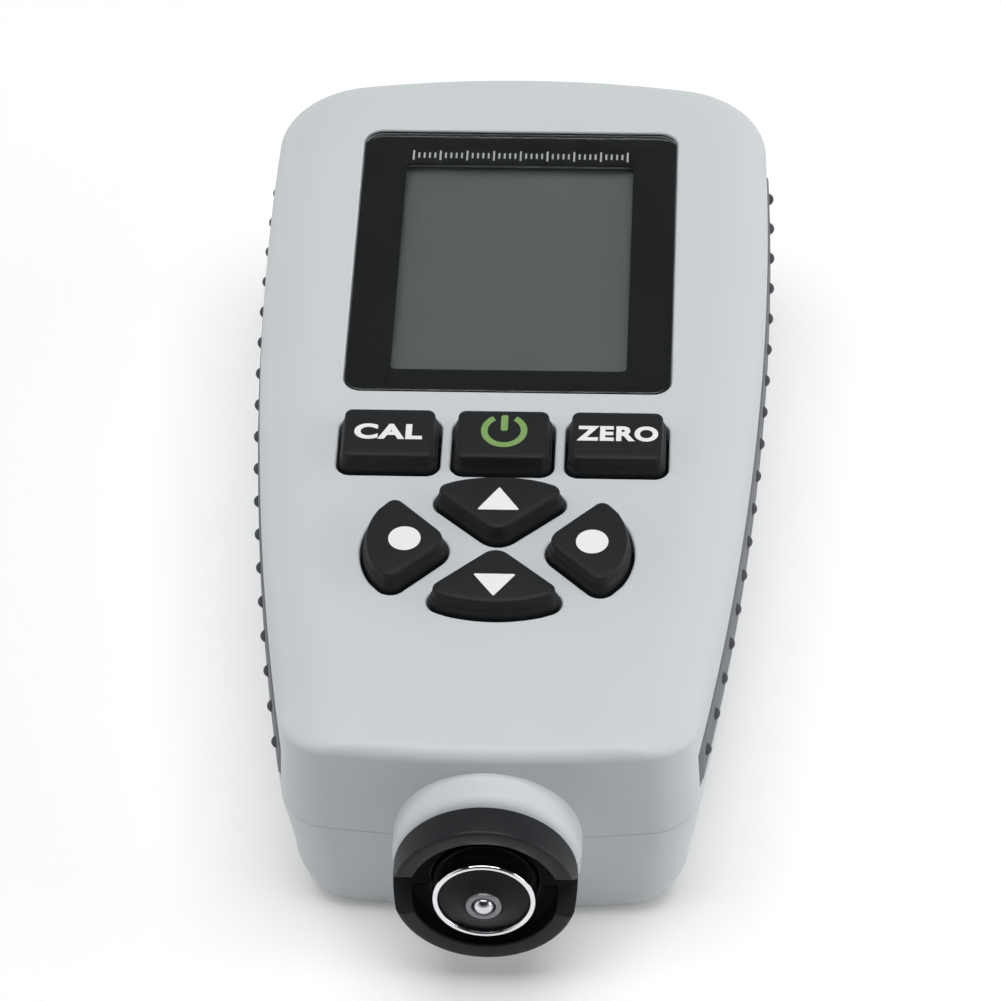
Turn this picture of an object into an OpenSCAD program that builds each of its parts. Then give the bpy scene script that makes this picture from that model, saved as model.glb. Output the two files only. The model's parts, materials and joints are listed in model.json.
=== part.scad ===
// Hand-held coating thickness gauge: two-part housing, display, rubber keys,
// spring-loaded probe and a sliding battery door.
// Millimetres, +Z up, lying on its back; the probe points to -Y, the display end to +Y.

/* [Housing] */
// Width across the widest place of the housing
body_w = 60.9; // [58:0.1:70]
// Distance from the end face to the middle of the arrow keys
key_room = 30; // [27:0.1:40]
// Distance from the display end to the window
window_margin = 12.6; // [12:0.1:18]
// Thickness at the probe end
end_h = 27.3; // [26:0.1:30]
// Slope of the deck against the back
deck_slope = 3; // [2:0.1:4]
// Radius of the bowed sides in plan
side_r = 460; // [380:5:700]
// Distance from the display end to the widest place
wide_back = 25.5; // [18:0.5:38]
// Radius of the display end in plan
far_r = 125; // [90:1:200]
// Radius of the probe end in plan
near_r = 150; // [110:1:220]
// Corner radius at the display end
far_corner = 10; // [8:0.5:12]
// Corner radius at the probe end
near_corner = 6; // [5:0.5:8]
// Wall thickness
wall = 2.4; // [2.1:0.1:2.8]
// Depth of the parting line below the deck
split = 13.1; // [12.9:0.1:14.5]
// Width of the soft shoulder along the sides
shoulder_w = 7; // [4:0.5:9]
// Height of the soft shoulder
shoulder_h = 4.5; // [3:0.1:5.5]
// Width of the deck rounding at the probe end
near_round = 1.7; // [1.2:0.1:4]
// Height of the deck rounding at the probe end
near_h = 1.6; // [1.2:0.1:4.5]
// Width of the deck rounding at the display end
far_round = 6; // [3:0.1:7]
// Draft of the sides of the front shell
front_draft = 0.4; // [0:0.1:1]
// Draft of the sides of the rear shell
rear_draft = 1.2; // [0:0.1:2]
// Height of the rounding into the back
back_round = 7; // [4:0.5:9]
// Inset of that rounding on the sides
back_inset = 4.5; // [3:0.5:7]
// Inset of that rounding at the ends
back_end_inset = 2.6; // [2:0.1:4]

/* [Grips] */
// Depth of the upper edge of a grip below the deck
grip_top = 6.9; // [6:0.1:8]
// Height of a grip
grip_h = 4.9; // [4:0.1:5.2]
// Thickness of a grip
grip_t = 1.3; // [0.8:0.1:1.5]
// Stand of the strip outside the housing
grip_out = 0.2; // [0:0.05:0.4]
// Bumps on each grip
bump_count = 19; // [10:1:24]
// Radius of a bump
bump_r = 1.05; // [0.7:0.05:1.3]

/* [Display] */
// Window width
window_w = 38; // [34:0.2:39]
// Window length
window_l = 44.8; // [42:0.2:45]
// Window corner radius
window_r = 2.2; // [1:0.1:4]
// Window thickness
window_t = 1; // [0.8:0.1:1.2]
// Width of the area seen through the window
view_w = 27.5; // [22:0.5:28]
// Length of the area seen through the window
view_l = 35.3; // [30:0.5:35.5]

/* [Keys] */
// Width of an upper key
key_w = 11.2; // [9:0.1:11.8]
// Length of an upper key
key_l = 8.4; // [6:0.1:8.6]
// Distance between the upper keys
key_pitch = 13.05; // [13:0.05:13.4]
// Distance from the window to the middle of the upper keys
row_gap = 9.2; // [9:0.1:12]
// Distance from the upper keys to the middle of the arrow keys
nav_gap = 16.4; // [16.3:0.1:20]
// Half width of the up and down keys
arrow_half = 8.5; // [7:0.1:9]
// Reach of their outer corners
arrow_side = 8; // [7:0.1:9]
// Reach of their crown
arrow_reach = 10.1; // [9:0.1:11]
// Half width of the left and right keys
side_half = 7; // [6:0.1:7.5]
// Reach of their outer corners
side_side = 11.8; // [11:0.1:13]
// Reach of their crown
side_reach = 15.1; // [14:0.1:16]
// Reach of their inner corner
side_in = 4.7; // [4.4:0.1:6]
// Height of the keys above the deck
key_h = 2.4; // [1.6:0.1:3]
// Travel of a key
key_travel = 0.7; // [0.4:0.05:0.8]
// Gap round a key
key_gap = 0.35; // [0.3:0.01:0.4]

/* [Probe] */
// Radius of the nose that carries the probe
nose_r = 10.4; // [9.8:0.1:10.5]
// Length of the nose
nose_l = 4.5; // [4:0.1:7]
// Rounding of the nose
nose_round = 2; // [1:0.1:2.4]
// Radius of the collar
collar_r = 10.1; // [9.6:0.1:10.4]
// Length of the collar in front of the nose
collar_l = 4.2; // [3.3:0.1:6]
// Depth of the vee across the collar
vee_d = 3; // [2:0.1:3.2]
// Radius of the sleeve
sleeve_r = 5.65; // [5:0.05:5.8]
// Wall of the sleeve
sleeve_t = 0.8; // [0.6:0.05:1]
// Height of the sleeve above the collar
sleeve_out = 0.8; // [0.5:0.1:1.5]
// Radius of the recess in the collar
recess_r = 8.4; // [7:0.05:8.5]
// Depth of the recess in the collar
recess_d = 2.4; // [1:0.1:2.6]
// Reach of the tip in front of the sleeve
tip_out = 1.3; // [0.8:0.1:2]
// Travel of the probe
probe_travel = 2.6; // [1.5:0.1:2.8]
// Radius of the measuring tip
tip_r = 1.2; // [0.8:0.05:1.4]
// Turns of the probe spring
spring_turns = 4; // [3:1:5]

/* [Power] */
// Radius of a cell
cell_r = 5.25; // [5:0.05:5.25]
// Length of a cell with its nub
cell_l = 44.5; // [43:0.1:44.5]
// Half the width of the battery door
door_half = 14.5; // [14:0.1:15]
// Height of the door lip on the display end
door_lip = 9; // [7:0.1:10]

/* [Hidden] */
$fn = 48;
eps = 0.05;
reach = nose_l + collar_l + sleeve_out + tip_out;
// Rows of the deck, measured from the window centre
key_row = window_l / 2 + row_gap;
nav_at = key_row + nav_gap;
body_l = key_room + nav_gap + row_gap + window_l + window_margin;
y_far = (body_l + reach) / 2;
y_end = y_far - body_l;
y_wide = y_far - wide_back;
y_window = y_far - window_margin - window_l / 2;
half_w = body_w / 2;
probe_z = end_h - split;
// Ends of the grips along the sides
grip_near = y_end + near_corner - 2.3;
grip_far = y_far - far_corner - 2.2;
bump_pitch = (grip_far - grip_near - 2.6) / (bump_count - 1);
// Thickness of the deck
deck_t = 2.4;
// Clearances: fixed pieces, and pieces that move
fit = 0.1;
run = 0.3;
// Height of the tongue along the parting line, clear of the grips
tongue_h = split - grip_top - grip_h - 5 * fit;
// Length over which the deck rounding grows from the probe end
lip_blend = 14;
// Depths below the deck
gasket_t = 0.2;
pocket_d = window_t + gasket_t + fit;
lcd_top = deck_t + 0.2;
lcd_t = 2;
board_top = 8.3;
board_t = 1.6;
flange_t = 1;
key_foot = board_top - run - key_travel;
mat_t = 1.05;
// Inset of a key's stem
stem_in = 1.1;
// Battery compartment
door_t = 2;
door_step = 1;
tray_half = door_half + 1.6;
tray_t = 1.5;
tray_back = y_far - 7.1;
plate_t = 0.4;
nub_l = 1;
spring_gap = 3;
tray_front = tray_back - cell_l - spring_gap - 2 * (plate_t + 2 * eps);
cell_z = door_t + 0.6 + cell_r;
cell_x = cell_r + 2.65;
tray_z = cell_z + cell_r + 0.8;
door_end = tray_front + 0.6;
// Probe depths along its axis, outward from the end face
collar_face = nose_l + collar_l;
sleeve_face = collar_face + sleeve_out;
barrel_r = 8;
guide_bore = sleeve_r + run;
flange_r = sleeve_r + 1.05;
well_r = flange_r + run;
well_at = -5.6;
flange_at = well_at - run;
probe_flange_t = 1.2;
spring_wire = 0.35;
// Solid height of the spring
spring_solid = 2 * spring_wire * spring_turns + 0.5;
guide_end = flange_at - probe_flange_t - probe_travel - spring_solid;
cap_t = 1.2;
// Reach of the core's cone and of the bush in front of the sleeve
core_out = tip_out - 0.85;
bush_out = tip_out - 0.55;
// Bush round the tip
bush_r = tip_r + 0.8;
// Screw places: across, along
rear_screws = [[22.5, y_far - 19.5], [16.6, y_end + 9]];
screw_head_z = 4.4;
screw_head_r = 2.3;
screw_r = 1.25;
screw_l = 16;
boss_r = 2.9;
board_screw_x = 16.2;
board_screw_y = [window_l / 2 + 4.2, -window_l / 2 - 2.1];
// Main board and what sits on it
board_w = 38;
chip_w = 12;
chip_at = -8;
buzzer_r = 6;
buzzer_h = 4;
plug_w = 7;
plug_l = 5;
plug_h = 3;
lead_r = 0.6;

SHELL = [0.80, 0.82, 0.83];
RUBBER = [0.42, 0.44, 0.47];
BLACK = [0.07, 0.075, 0.085];
CLEAR = [0.55, 0.58, 0.60, 0.35];
LCD = [0.36, 0.38, 0.37];
WHITE = [0.86, 0.86, 0.83];
BOARD = [0.10, 0.32, 0.16];
STEEL = [0.74, 0.75, 0.77];
COPPER = [0.72, 0.42, 0.22];
CELL = [0.16, 0.20, 0.34];

// Plain helpers
function unit(v) = v / norm(v);
function dir(v) = atan2(v[1], v[0]);

// Points on an arc, the last one left out unless whole is 1
function arc(c, r, a, b, n, whole = 0) =
    [for (i = [0 : n - 1 + whole]) c + r * [cos(a + (b - a) * i / n), sin(a + (b - a) * i / n)]];

// Corner q rounded by radius r between neighbours p and s, in a counter-clockwise outline
function rounded(p, q, s, r, n) =
    let (u = unit(p - q), v = unit(s - q))
    let (half = acos(u * v) / 2)
    let (c = q + unit(u + v) * r / sin(half))
    let (a = dir(q + u * r / tan(half) - c))
    arc(c, r, a, a + 180 - 2 * half, n, 1);

// Outline from corners [x, y, radius]
function outline(k, n = 5) =
    [for (i = [0 : len(k) - 1])
        let (p = k[(i + len(k) - 1) % len(k)], q = k[i], s = k[(i + 1) % len(k)])
        each (q[2] > 0 ? rounded([p[0], p[1]], [q[0], q[1]], [s[0], s[1]], q[2], n) : [[q[0], q[1]]])];

function box_outline(w, l, r, n = 5) =
    outline([[w / 2, -l / 2, r], [w / 2, l / 2, r], [-w / 2, l / 2, r], [-w / 2, -l / 2, r]], n);

// Outline moved inward by d (outward when negative)
function inset(pts, d) =
    let (n = len(pts))
    [for (i = [0 : n - 1])
        let (e = unit(unit(pts[(i + 1) % n] - pts[i]) + unit(pts[i] - pts[(i + n - 1) % n])))
        pts[i] + d * [-e[1], e[0]]];

function raised(pts, z) = [for (p = pts) [p[0], p[1], z]];

// Closed solid through rings of equal point count, first ring lowest on the outside
module skin(rings) {
    n = len(rings[0]);
    m = len(rings);
    polyhedron(
        points = [for (r = rings) each r],
        faces = concat(
            [[for (i = [0 : n - 1]) i]],
            [for (k = [0 : m - 2], i = [0 : n - 1])
                each [[k * n + i, (k + 1) * n + i, (k + 1) * n + (i + 1) % n],
                    [k * n + i, (k + 1) * n + (i + 1) % n, k * n + (i + 1) % n]]],
            [[for (i = [n - 1 : -1 : 0]) (m - 1) * n + i]]));
}

// Plan outline of the housing, inset by s on the sides, a at the probe end, b at the display end
function side_c() = [half_w - side_r, y_wide];
function meet(c, ra, b, rb, turn) =
    let (d = norm(b - c), e = (b - c) / d, t = (ra * ra - rb * rb + d * d) / (2 * d))
    c + t * e + turn * sqrt(ra * ra - t * t) * [-e[1], e[0]];
function plan_half(s, a, b, in) =
    let (c = side_c(), rs = side_r - s, rn = near_corner - in, rf = far_corner - in)
    let (cn = [0, y_end + a + near_r], cf = [0, y_far - b - far_r])
    let (pn = meet(c, rs - rn, cn, near_r - rn, -1), pf = meet(c, rs - rf, cf, far_r - rf, 1))
    concat(arc(cn, near_r, -90, dir(pn - cn), 4), arc(pn, rn, dir(pn - cn), dir(pn - c), 6),
        arc(c, rs, dir(pn - c), dir(pf - c), 12), arc(pf, rf, dir(pf - c), dir(pf - cf), 6),
        arc(cf, far_r, dir(pf - cf), 90, 4, 1));
function plan(s, a, b, in = 0) =
    let (h = plan_half(s, a, b, in), n = len(h))
    concat(h, [for (i = [n - 2 : -1 : 1]) [-h[i][0], h[i][1]]]);

function deck_z(y) = end_h + (y - y_end) * tan(deck_slope);
// Ring of the housing at a depth below the deck, and one at a height above the back
function deck_ring(d, s, a, b, in = 0) = [for (p = plan(s, a, b, in)) [p[0], p[1], deck_z(p[1]) - d]];
function back_ring(z, s, a, b, in = 0) = raised(plan(s, a, b, in), z);

// Inset of the front shell's sides at a depth below the deck
function drafted(d) = front_draft * (split - d) / (split - shoulder_h);

// Height of the deck rounding, low at the probe end
function lip_h(y) =
    let (f = min(1, max(0, (y - y_end) / lip_blend)))
    near_h + (shoulder_h - near_h) * f * f * (3 - 2 * f);
function lip_ring(k, s, a, b) = [for (p = plan(s, a, b)) [p[0], p[1], deck_z(p[1]) - k * lip_h(p[1])]];

// Shares of a quarter ellipse: inset and height
function bend(i, n) = [1 - cos(90 * i / n), 1 - sin(90 * i / n)];

function front_rings() = concat(
    [deck_ring(deck_t, wall + shoulder_w * 0.7, wall + 1, wall + far_round * 0.7, wall),
        deck_ring(shoulder_h + 1, wall + front_draft, wall, wall, wall),
        deck_ring(split - tongue_h - fit, wall, wall, wall, wall),
        deck_ring(split - tongue_h - fit, wall / 2, wall / 2, wall / 2, wall / 2),
        deck_ring(split, wall / 2, wall / 2, wall / 2, wall / 2)],
    [deck_ring(split, 0, 0, 0)],
    [for (i = [0 : 6]) let (k = bend(i, 6))
        lip_ring(k[1], front_draft + (shoulder_w - front_draft) * k[0],
            near_round * k[0], far_round * k[0])]);

// Outer skin of the rear shell, moved inward by t
function rear_outside(t) = concat(
    [for (i = [5 : -1 : 0]) let (k = bend(i, 5))
        back_ring(t + (back_round - t) * k[1], rear_draft + t + (back_inset - t) * k[0],
            t + (back_end_inset - t) * k[0] + rear_draft / 2,
            t + (back_end_inset - t) * k[0] + rear_draft / 2, t + (3 - t) * k[0])],
    [deck_ring(split, t, t, t, t)]);

function rear_rings() =
    let (t = wall / 2 + fit, floor_in = rear_outside(wall))
    concat(rear_outside(0),
        [deck_ring(split, t, t, t, t), deck_ring(split - tongue_h, t, t, t, t),
            deck_ring(split - tongue_h, wall, wall, wall, wall)],
        [for (i = [len(floor_in) - 2 : -1 : 0]) floor_in[i]]);

// Frames: the deck with its origin under the window centre, and the probe axis pointing outward
module on_deck() {
    translate([0, y_window, deck_z(y_window)])
        rotate([deck_slope, 0, 0])
            children();
}

module on_probe() {
    translate([0, y_end, probe_z])
        rotate([90, 0, 0])
            children();
}

module both_sides() {
    children();
    mirror([1, 0, 0])
        children();
}

module above_split() {
    translate([-body_w, y_end, probe_z])
        rotate([deck_slope, 0, 0])
            translate([0, -3 * nose_l, 0])
                cube([2 * body_w, 2 * body_l, 2 * end_h]);
}

// Plate in the deck frame from depth a down to depth b
module deck_plate(pts, a, b) {
    translate([0, 0, -b])
        linear_extrude(b - a)
            polygon(pts);
}

module tube(r, hole, a, b) {
    translate([0, 0, a])
        difference() {
            cylinder(r = r, h = b - a);
            translate([0, 0, -1])
                cylinder(r = hole, h = b - a + 2);
        }
}

module nose() {
    on_probe()
        rotate_extrude()
            difference() {
                translate([0, -wall - 0.4])
                    square([nose_r, nose_l + wall + 0.4]);
                translate([nose_r - nose_round, nose_l - nose_round])
                    difference() {
                        square(nose_round + 1);
                        circle(r = nose_round);
                    }
            }
}

// Room for the collar between the shell halves
module collar_room() {
    on_probe() {
        translate([0, 0, guide_end - 4])
            cylinder(r = barrel_r + fit, h = nose_l + 5 - guide_end);
        translate([0, 0, -wall - 2.2])
            cylinder(r = nose_r - 0.4, h = 1.8);
    }
}

// Room in the tongue for the upper half of the nose
module nose_room() {
    intersection() {
        on_probe()
            translate([0, 0, -wall - 0.4 - fit])
                cylinder(r = nose_r + fit, h = wall + 1.4);
        translate([0, 0, -fit / 2])
            above_split();
    }
}

// Saddle that holds the guide barrel behind the end wall
module saddle(top) {
    translate([-14, y_end + wall + 2.4, top ? probe_z : wall / 2])
        cube([28, 1.6, top ? split - deck_t / 2 : probe_z]);
}

// One grip: a strip that follows the side, g wider all round, the face moved out by o
module grip_strip(g, o) {
    c = side_c();
    a = asin((grip_near - g - y_wide) / side_r);
    b = asin((grip_far + g - y_wide) / side_r);
    n = 26;
    w = 0.5;
    low = grip_top + grip_h;
    prof = [[-grip_t - g, grip_top - g], [o - w, grip_top - g], [o, grip_top - g + w],
        [o, low + g - w], [o - w, low + g], [-grip_t - g, low + g]];
    skin([for (i = [0 : n]) let (t = a + (b - a) * i / n)
        [for (q = prof)
            let (p = c + (side_r + q[0] - drafted(q[1])) * [cos(t), sin(t)])
            [p[0], p[1], deck_z(p[1]) - q[1]]]]);
}

module grip() {
    c = side_c();
    color(RUBBER)
        union() {
            grip_strip(0, grip_out);
            for (i = [0 : bump_count - 1]) {
                y = grip_far - 1.5 - i * bump_pitch;
                t = asin((y - y_wide) / side_r);
                p = c + (side_r + grip_out - 0.5 - drafted(grip_top + grip_h / 2)) * [cos(t), sin(t)];
                translate([p[0], p[1], deck_z(p[1]) - grip_top - grip_h / 2])
                    rotate([0, 0, t])
                        intersection() {
                            sphere(r = bump_r, $fn = 20);
                            translate([0.6 - grip_t, -2 * bump_r, -2 * bump_r])
                                cube(4 * bump_r);
                        }
            }
        }
}

module left_grip() {
    mirror([1, 0, 0])
        grip();
}

module right_grip() {
    grip();
}

// Key outlines in the deck frame
function upper_key(i) = [for (p = box_outline(key_w, key_l, 1.3)) p + [i * key_pitch, -key_row]];
// Fan-shaped key along +Y: inner corner a, outer corners at x, y and the crown at c
function fan(a, x, y, c) =
    let (s = c - y, r = (x * x + s * s) / (2 * s), t = asin(x / r))
    outline(concat([[0, a, 2.4], [x, y, 1.5]],
        [for (p = arc([0, c - r], r, 90 - t * 0.6, 90 + t * 0.6, 6, 1)) [p[0], p[1], 0]],
        [[-x, y, 1.5]]));
function turned(pts, a) = [for (p = pts)
    [p[0] * cos(a) - p[1] * sin(a), p[0] * sin(a) + p[1] * cos(a) - nav_at]];
function tall_fan() = fan(0.4, arrow_half, arrow_side, arrow_reach);
function side_fan() = fan(side_in, side_half, side_side, side_reach);
function key_outlines() = [upper_key(-1), upper_key(0), upper_key(1), turned(tall_fan(), 0),
    turned(tall_fan(), 180), turned(side_fan(), 90), turned(side_fan(), -90)];

module key(i) {
    k = key_outlines()[i];
    top = -deck_t - run;
    color(BLACK)
        on_deck()
            union() {
                skin([raised(inset(k, -0.4), top - flange_t), raised(inset(k, -0.4), top),
                    raised(k, top), raised(inset(k, 0.08), key_h * 0.36), raised(inset(k, 0.3), key_h * 0.5),
                    raised(inset(k, 0.4), key_h - 0.4), raised(inset(k, 0.51), key_h - 0.12),
                    raised(inset(k, 0.8), key_h)]);
                deck_plate(inset(k, stem_in), -top + flange_t / 2, key_foot);
            }
}

module cal_key() {
    key(0);
}

module power_key() {
    key(1);
}

module zero_key() {
    key(2);
}

module up_key() {
    key(3);
}

module down_key() {
    key(4);
}

module left_key() {
    key(5);
}

module right_key() {
    key(6);
}

module front_shell() {
    keys = key_outlines();
    color(SHELL)
        difference() {
            union() {
                skin(front_rings());
                intersection() {
                    union() {
                        nose();
                        saddle(true);
                        both_sides()
                            for (p = rear_screws)
                                translate([p[0], p[1], probe_z])
                                    cylinder(r = boss_r, h = deck_z(p[1]) - probe_z - deck_t / 2);
                    }
                    above_split();
                }
                on_deck()
                    both_sides()
                        for (y = board_screw_y)
                            translate([board_screw_x, y, -board_top])
                                cylinder(r = 2, h = board_top - deck_t / 2);
            }
            on_deck() {
                deck_plate(box_outline(window_w + 2 * fit, window_l + 2 * fit, window_r), -1, pocket_d);
                deck_plate([for (p = box_outline(view_w + 1.5, view_l + 1.5, 1)) p - [0, 0.6]], 0, 5);
                for (k = keys)
                    deck_plate(inset(k, -key_gap), -1, deck_t + 1);
                both_sides()
                    for (y = board_screw_y)
                        translate([board_screw_x, y, -board_top - 1])
                            cylinder(r = 0.95, h = 6);
            }
            both_sides() {
                grip_strip(fit, 1);
                for (p = rear_screws)
                    translate([p[0], p[1], 0])
                        cylinder(r = screw_r + eps, h = screw_head_z + screw_l + 1);
            }
            collar_room();
        }
}

// Stepped slot of the battery door, g wider all round
module door_room(g) {
    translate([-door_half - g, door_end - g, -1])
        cube([2 * (door_half + g), body_l, 1 + door_step + eps]);
    translate([-door_half - 1 - g, door_end - g, door_step - g])
        cube([2 * (door_half + 1 + g), body_l, door_lip - door_step + 2 * g]);
}

module battery_tray() {
    difference() {
        translate([-tray_half - tray_t, tray_front - tray_t, 1])
            cube([2 * (tray_half + tray_t), tray_back - tray_front + 2 * tray_t, tray_z + tray_t - 1]);
        translate([-tray_half, tray_front, 0])
            cube([2 * tray_half, tray_back - tray_front, tray_z]);
        translate([-tray_half, tray_front + 4, -1])
            cube([2 * tray_half, body_l, 1 + door_t + run]);
    }
    translate([-1, tray_front + 4, tray_z - 5])
        cube([2, tray_back - tray_front - 8, 5 + tray_t / 2]);
}

module rear_shell() {
    color(SHELL)
        difference() {
            union() {
                difference() {
                    skin(rear_rings());
                    door_room(run);
                    nose_room();
                }
                battery_tray();
                difference() {
                    union() {
                        nose();
                        saddle(false);
                        both_sides()
                            for (p = rear_screws)
                                translate([p[0], p[1], 1])
                                    cylinder(r = boss_r + 0.8, h = deck_z(p[1]) - split - 1 - fit);
                    }
                    translate([0, 0, -fit])
                        above_split();
                }
            }
            collar_room();
            both_sides()
                for (p = rear_screws)
                    translate([p[0], p[1], 0]) {
                        translate([0, 0, -1])
                            cylinder(r = screw_head_r + 0.2, h = screw_head_z + 1);
                        cylinder(r = screw_r + 0.15, h = end_h);
                    }
        }
}

module battery_door() {
    color(SHELL)
        difference() {
            intersection() {
                skin(rear_outside(0));
                door_room(0);
            }
            skin(rear_outside(door_t));
            for (i = [0 : 4])
                translate([-7, door_end + 5 + 2.2 * i, -1])
                    cube([14, 1.1, 1.5]);
        }
}

module display_window() {
    color(CLEAR)
        on_deck()
            deck_plate(box_outline(window_w, window_l, window_r), fit, window_t + fit);
}

module window_gasket() {
    color(BLACK)
        on_deck()
            difference() {
                deck_plate(box_outline(window_w - 0.2, window_l - 0.2, window_r - 0.1),
                    window_t + fit, pocket_d);
                deck_plate([for (p = box_outline(view_w, view_l, 0.6)) p - [0, 0.6]], 0, 3);
            }
}

module lcd_panel() {
    color(LCD)
        on_deck()
            translate([0, -0.6, 0]) {
                deck_plate(box_outline(view_w + 3.5, view_l + 4.2, 0.3), lcd_top + 0.7, lcd_top + lcd_t);
                deck_plate(box_outline(view_w + 2.4, view_l + 1.6, 0.3), lcd_top, lcd_top + 0.7);
            }
}

module lcd_holder() {
    color(WHITE)
        on_deck()
            translate([0, -0.6, 0])
                difference() {
                    deck_plate(box_outline(view_w + 7, view_l + 6.6, 1), deck_t + fit, board_top);
                    deck_plate(box_outline(view_w + 3.7, view_l + 4.4, 0.4), 0, lcd_top + lcd_t + eps);
                    for (s = [-1, 1])
                        translate([0, s * (view_l / 2 + 0.4), 0])
                            deck_plate(box_outline(view_w - 0.6, 2.6, 0.3), 0, board_top + 1);
                    deck_plate(box_outline(view_w - 2, view_l - 5, 1), 0, board_top - 1.4);
                }
}

module zebra_strips() {
    color(RUBBER)
        on_deck()
            for (s = [-1, 1])
                translate([0, s * (view_l / 2 + 0.4) - 0.6, 0])
                    deck_plate(box_outline(view_w - 1, 2.2, 0.2), lcd_top + lcd_t + eps, board_top);
}

module keypad_mat() {
    y_top = -key_row + key_l / 2 + 0.4;
    y_low = -nav_at - arrow_reach - 0.5;
    color(BLACK)
        on_deck()
            difference() {
                translate([0, (y_top + y_low) / 2, 0])
                    deck_plate(box_outline(board_w - 0.6, y_top - y_low, 1.5), board_top - mat_t, board_top);
                for (k = key_outlines())
                    deck_plate(inset(k, stem_in - run - fit), 0, board_top + 1);
            }
}

module main_board() {
    y_top = board_screw_y[0] + 2.9;
    y_low = -nav_at - arrow_reach - 1.1;
    color(BOARD)
        on_deck()
            difference() {
                translate([0, (y_top + y_low) / 2, 0])
                    deck_plate(box_outline(board_w, y_top - y_low, 2), board_top, board_top + board_t);
                both_sides()
                    for (y = board_screw_y)
                        translate([board_screw_x, y, -board_top - 3])
                            cylinder(r = 1.1, h = 6);
            }
}

module controller_chip() {
    n = 10;
    color(BLACK)
        on_deck()
            translate([0, chip_at, -board_top - board_t]) {
                translate([-chip_w / 2, -chip_w / 2, -1.7])
                    cube([chip_w, chip_w, 1.4]);
                for (a = [0, 90, 180, 270], i = [0 : n - 1])
                    rotate([0, 0, a])
                        translate([chip_w / 2 - 0.5, (i - (n - 1) / 2) * chip_w * 0.0875 - 0.2, -0.9])
                            cube([1.7, 0.4, 0.9]);
            }
}

module buzzer() {
    color(BLACK)
        on_deck()
            translate([board_w / 4, 1.6 - key_row, -board_top - board_t - buzzer_h])
                difference() {
                    cylinder(r = buzzer_r, h = buzzer_h);
                    translate([0, 0, -1])
                        cylinder(r = 1, h = 1.8);
                }
}

module cell() {
    translate([0, 0, cell_z])
        rotate([-90, 0, 0]) {
            cylinder(r = cell_r, h = cell_l - nub_l);
            cylinder(r = 1.8, h = cell_l);
        }
}

module battery_cells() {
    color(CELL) {
        translate([-cell_x, tray_back - plate_t - 2 * eps - cell_l, 0])
            cell();
        translate([cell_x, tray_front + plate_t + 2 * eps + cell_l, 0])
            mirror([0, 1, 0])
                cell();
    }
}

// Coil of round wire along +Z from rest to l, first and last turn flat, radius r at the foot, q at the top
module coil(r, q, l, turns, wire) {
    steps = 14 * turns;
    skin([for (i = [0 : steps])
        let (f = i / steps, a = 360 * turns * f, k = r + (q - r) * f)
        let (z = wire + (l - 2 * wire) * min(1, max(0, (f * turns - 0.5) / (turns - 1))))
        [for (j = [0 : 5]) let (b = -60 * j)
            [(k + wire * cos(b)) * cos(a), (k + wire * cos(b)) * sin(a), z + wire * sin(b)]]]);
}

module battery_springs() {
    color(STEEL) {
        translate([-cell_x, tray_front + plate_t + 2 * eps, cell_z])
            rotate([-90, 0, 0])
                coil(3.8, 2.2, spring_gap - eps, 3, 0.3);
        translate([cell_x, tray_back - plate_t - 2 * eps, cell_z])
            rotate([90, 0, 0])
                coil(3.8, 2.2, spring_gap - eps, 3, 0.3);
    }
}

module battery_plates() {
    color(STEEL) {
        for (s = [-1, 1])
            translate([s * cell_x - 4.2, tray_front + eps, cell_z - 4.2])
                cube([8.4, plate_t, 8.4]);
        translate([-cell_x - 4.2, tray_back - eps - plate_t, cell_z - 4.2])
            cube([2 * cell_x + 8.4, plate_t, 8.4]);
    }
}

module screw(r, l, head_r, head_h) {
    difference() {
        union() {
            translate([0, 0, -head_h])
                cylinder(r = head_r, h = head_h);
            cylinder(r = r, h = l);
        }
        for (a = [0, 90])
            rotate([0, 0, a])
                translate([-head_r * 0.6, -0.3, -head_h - 1])
                    cube([head_r * 1.2, 0.6, 1 + head_h * 0.5]);
    }
}

module housing_screws() {
    color(STEEL)
        both_sides()
            for (p = rear_screws)
                translate([p[0], p[1], screw_head_z])
                    screw(screw_r, screw_l, screw_head_r, 1.8);
}

module board_screws() {
    color(STEEL)
        on_deck()
            both_sides()
                for (y = board_screw_y)
                    translate([board_screw_x, y, -board_top - board_t])
                        screw(0.9, 5.5, 1.9, 1.1);
}

module probe_collar() {
    color(BLACK)
        on_probe()
            difference() {
                union() {
                    rotate_extrude()
                        difference() {
                            translate([0, nose_l + fit])
                                square([collar_r, collar_l - fit]);
                            translate([collar_r - 0.5, collar_face - 0.5])
                                difference() {
                                    square(1);
                                    circle(r = 0.5);
                                }
                            polygon([[0, collar_face - recess_d], [recess_r - 0.4, collar_face - recess_d],
                                [recess_r, collar_face - 0.6], [collar_r - 0.6, collar_face],
                                [collar_r - 0.6, collar_face + 1], [0, collar_face + 1]]);
                        }
                    translate([0, 0, guide_end])
                        cylinder(r = barrel_r, h = nose_l + 0.5 - guide_end);
                    translate([0, 0, -wall - 2])
                        cylinder(r = nose_r - 0.6, h = 1.4);
                }
                translate([0, 0, guide_end - 1])
                    cylinder(r = guide_bore, h = collar_face - guide_end + 2);
                translate([0, 0, guide_end - 1])
                    cylinder(r = well_r, h = well_at - guide_end + 1);
                translate([-collar_r - 1, 0, collar_face - vee_d])
                    rotate([0, 90, 0])
                        rotate([0, 0, 180])
                            linear_extrude(2 * collar_r + 2)
                                polygon([[0, 0], [vee_d + 1, -vee_d - 1], [vee_d + 1, vee_d + 1]]);
            }
}

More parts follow.
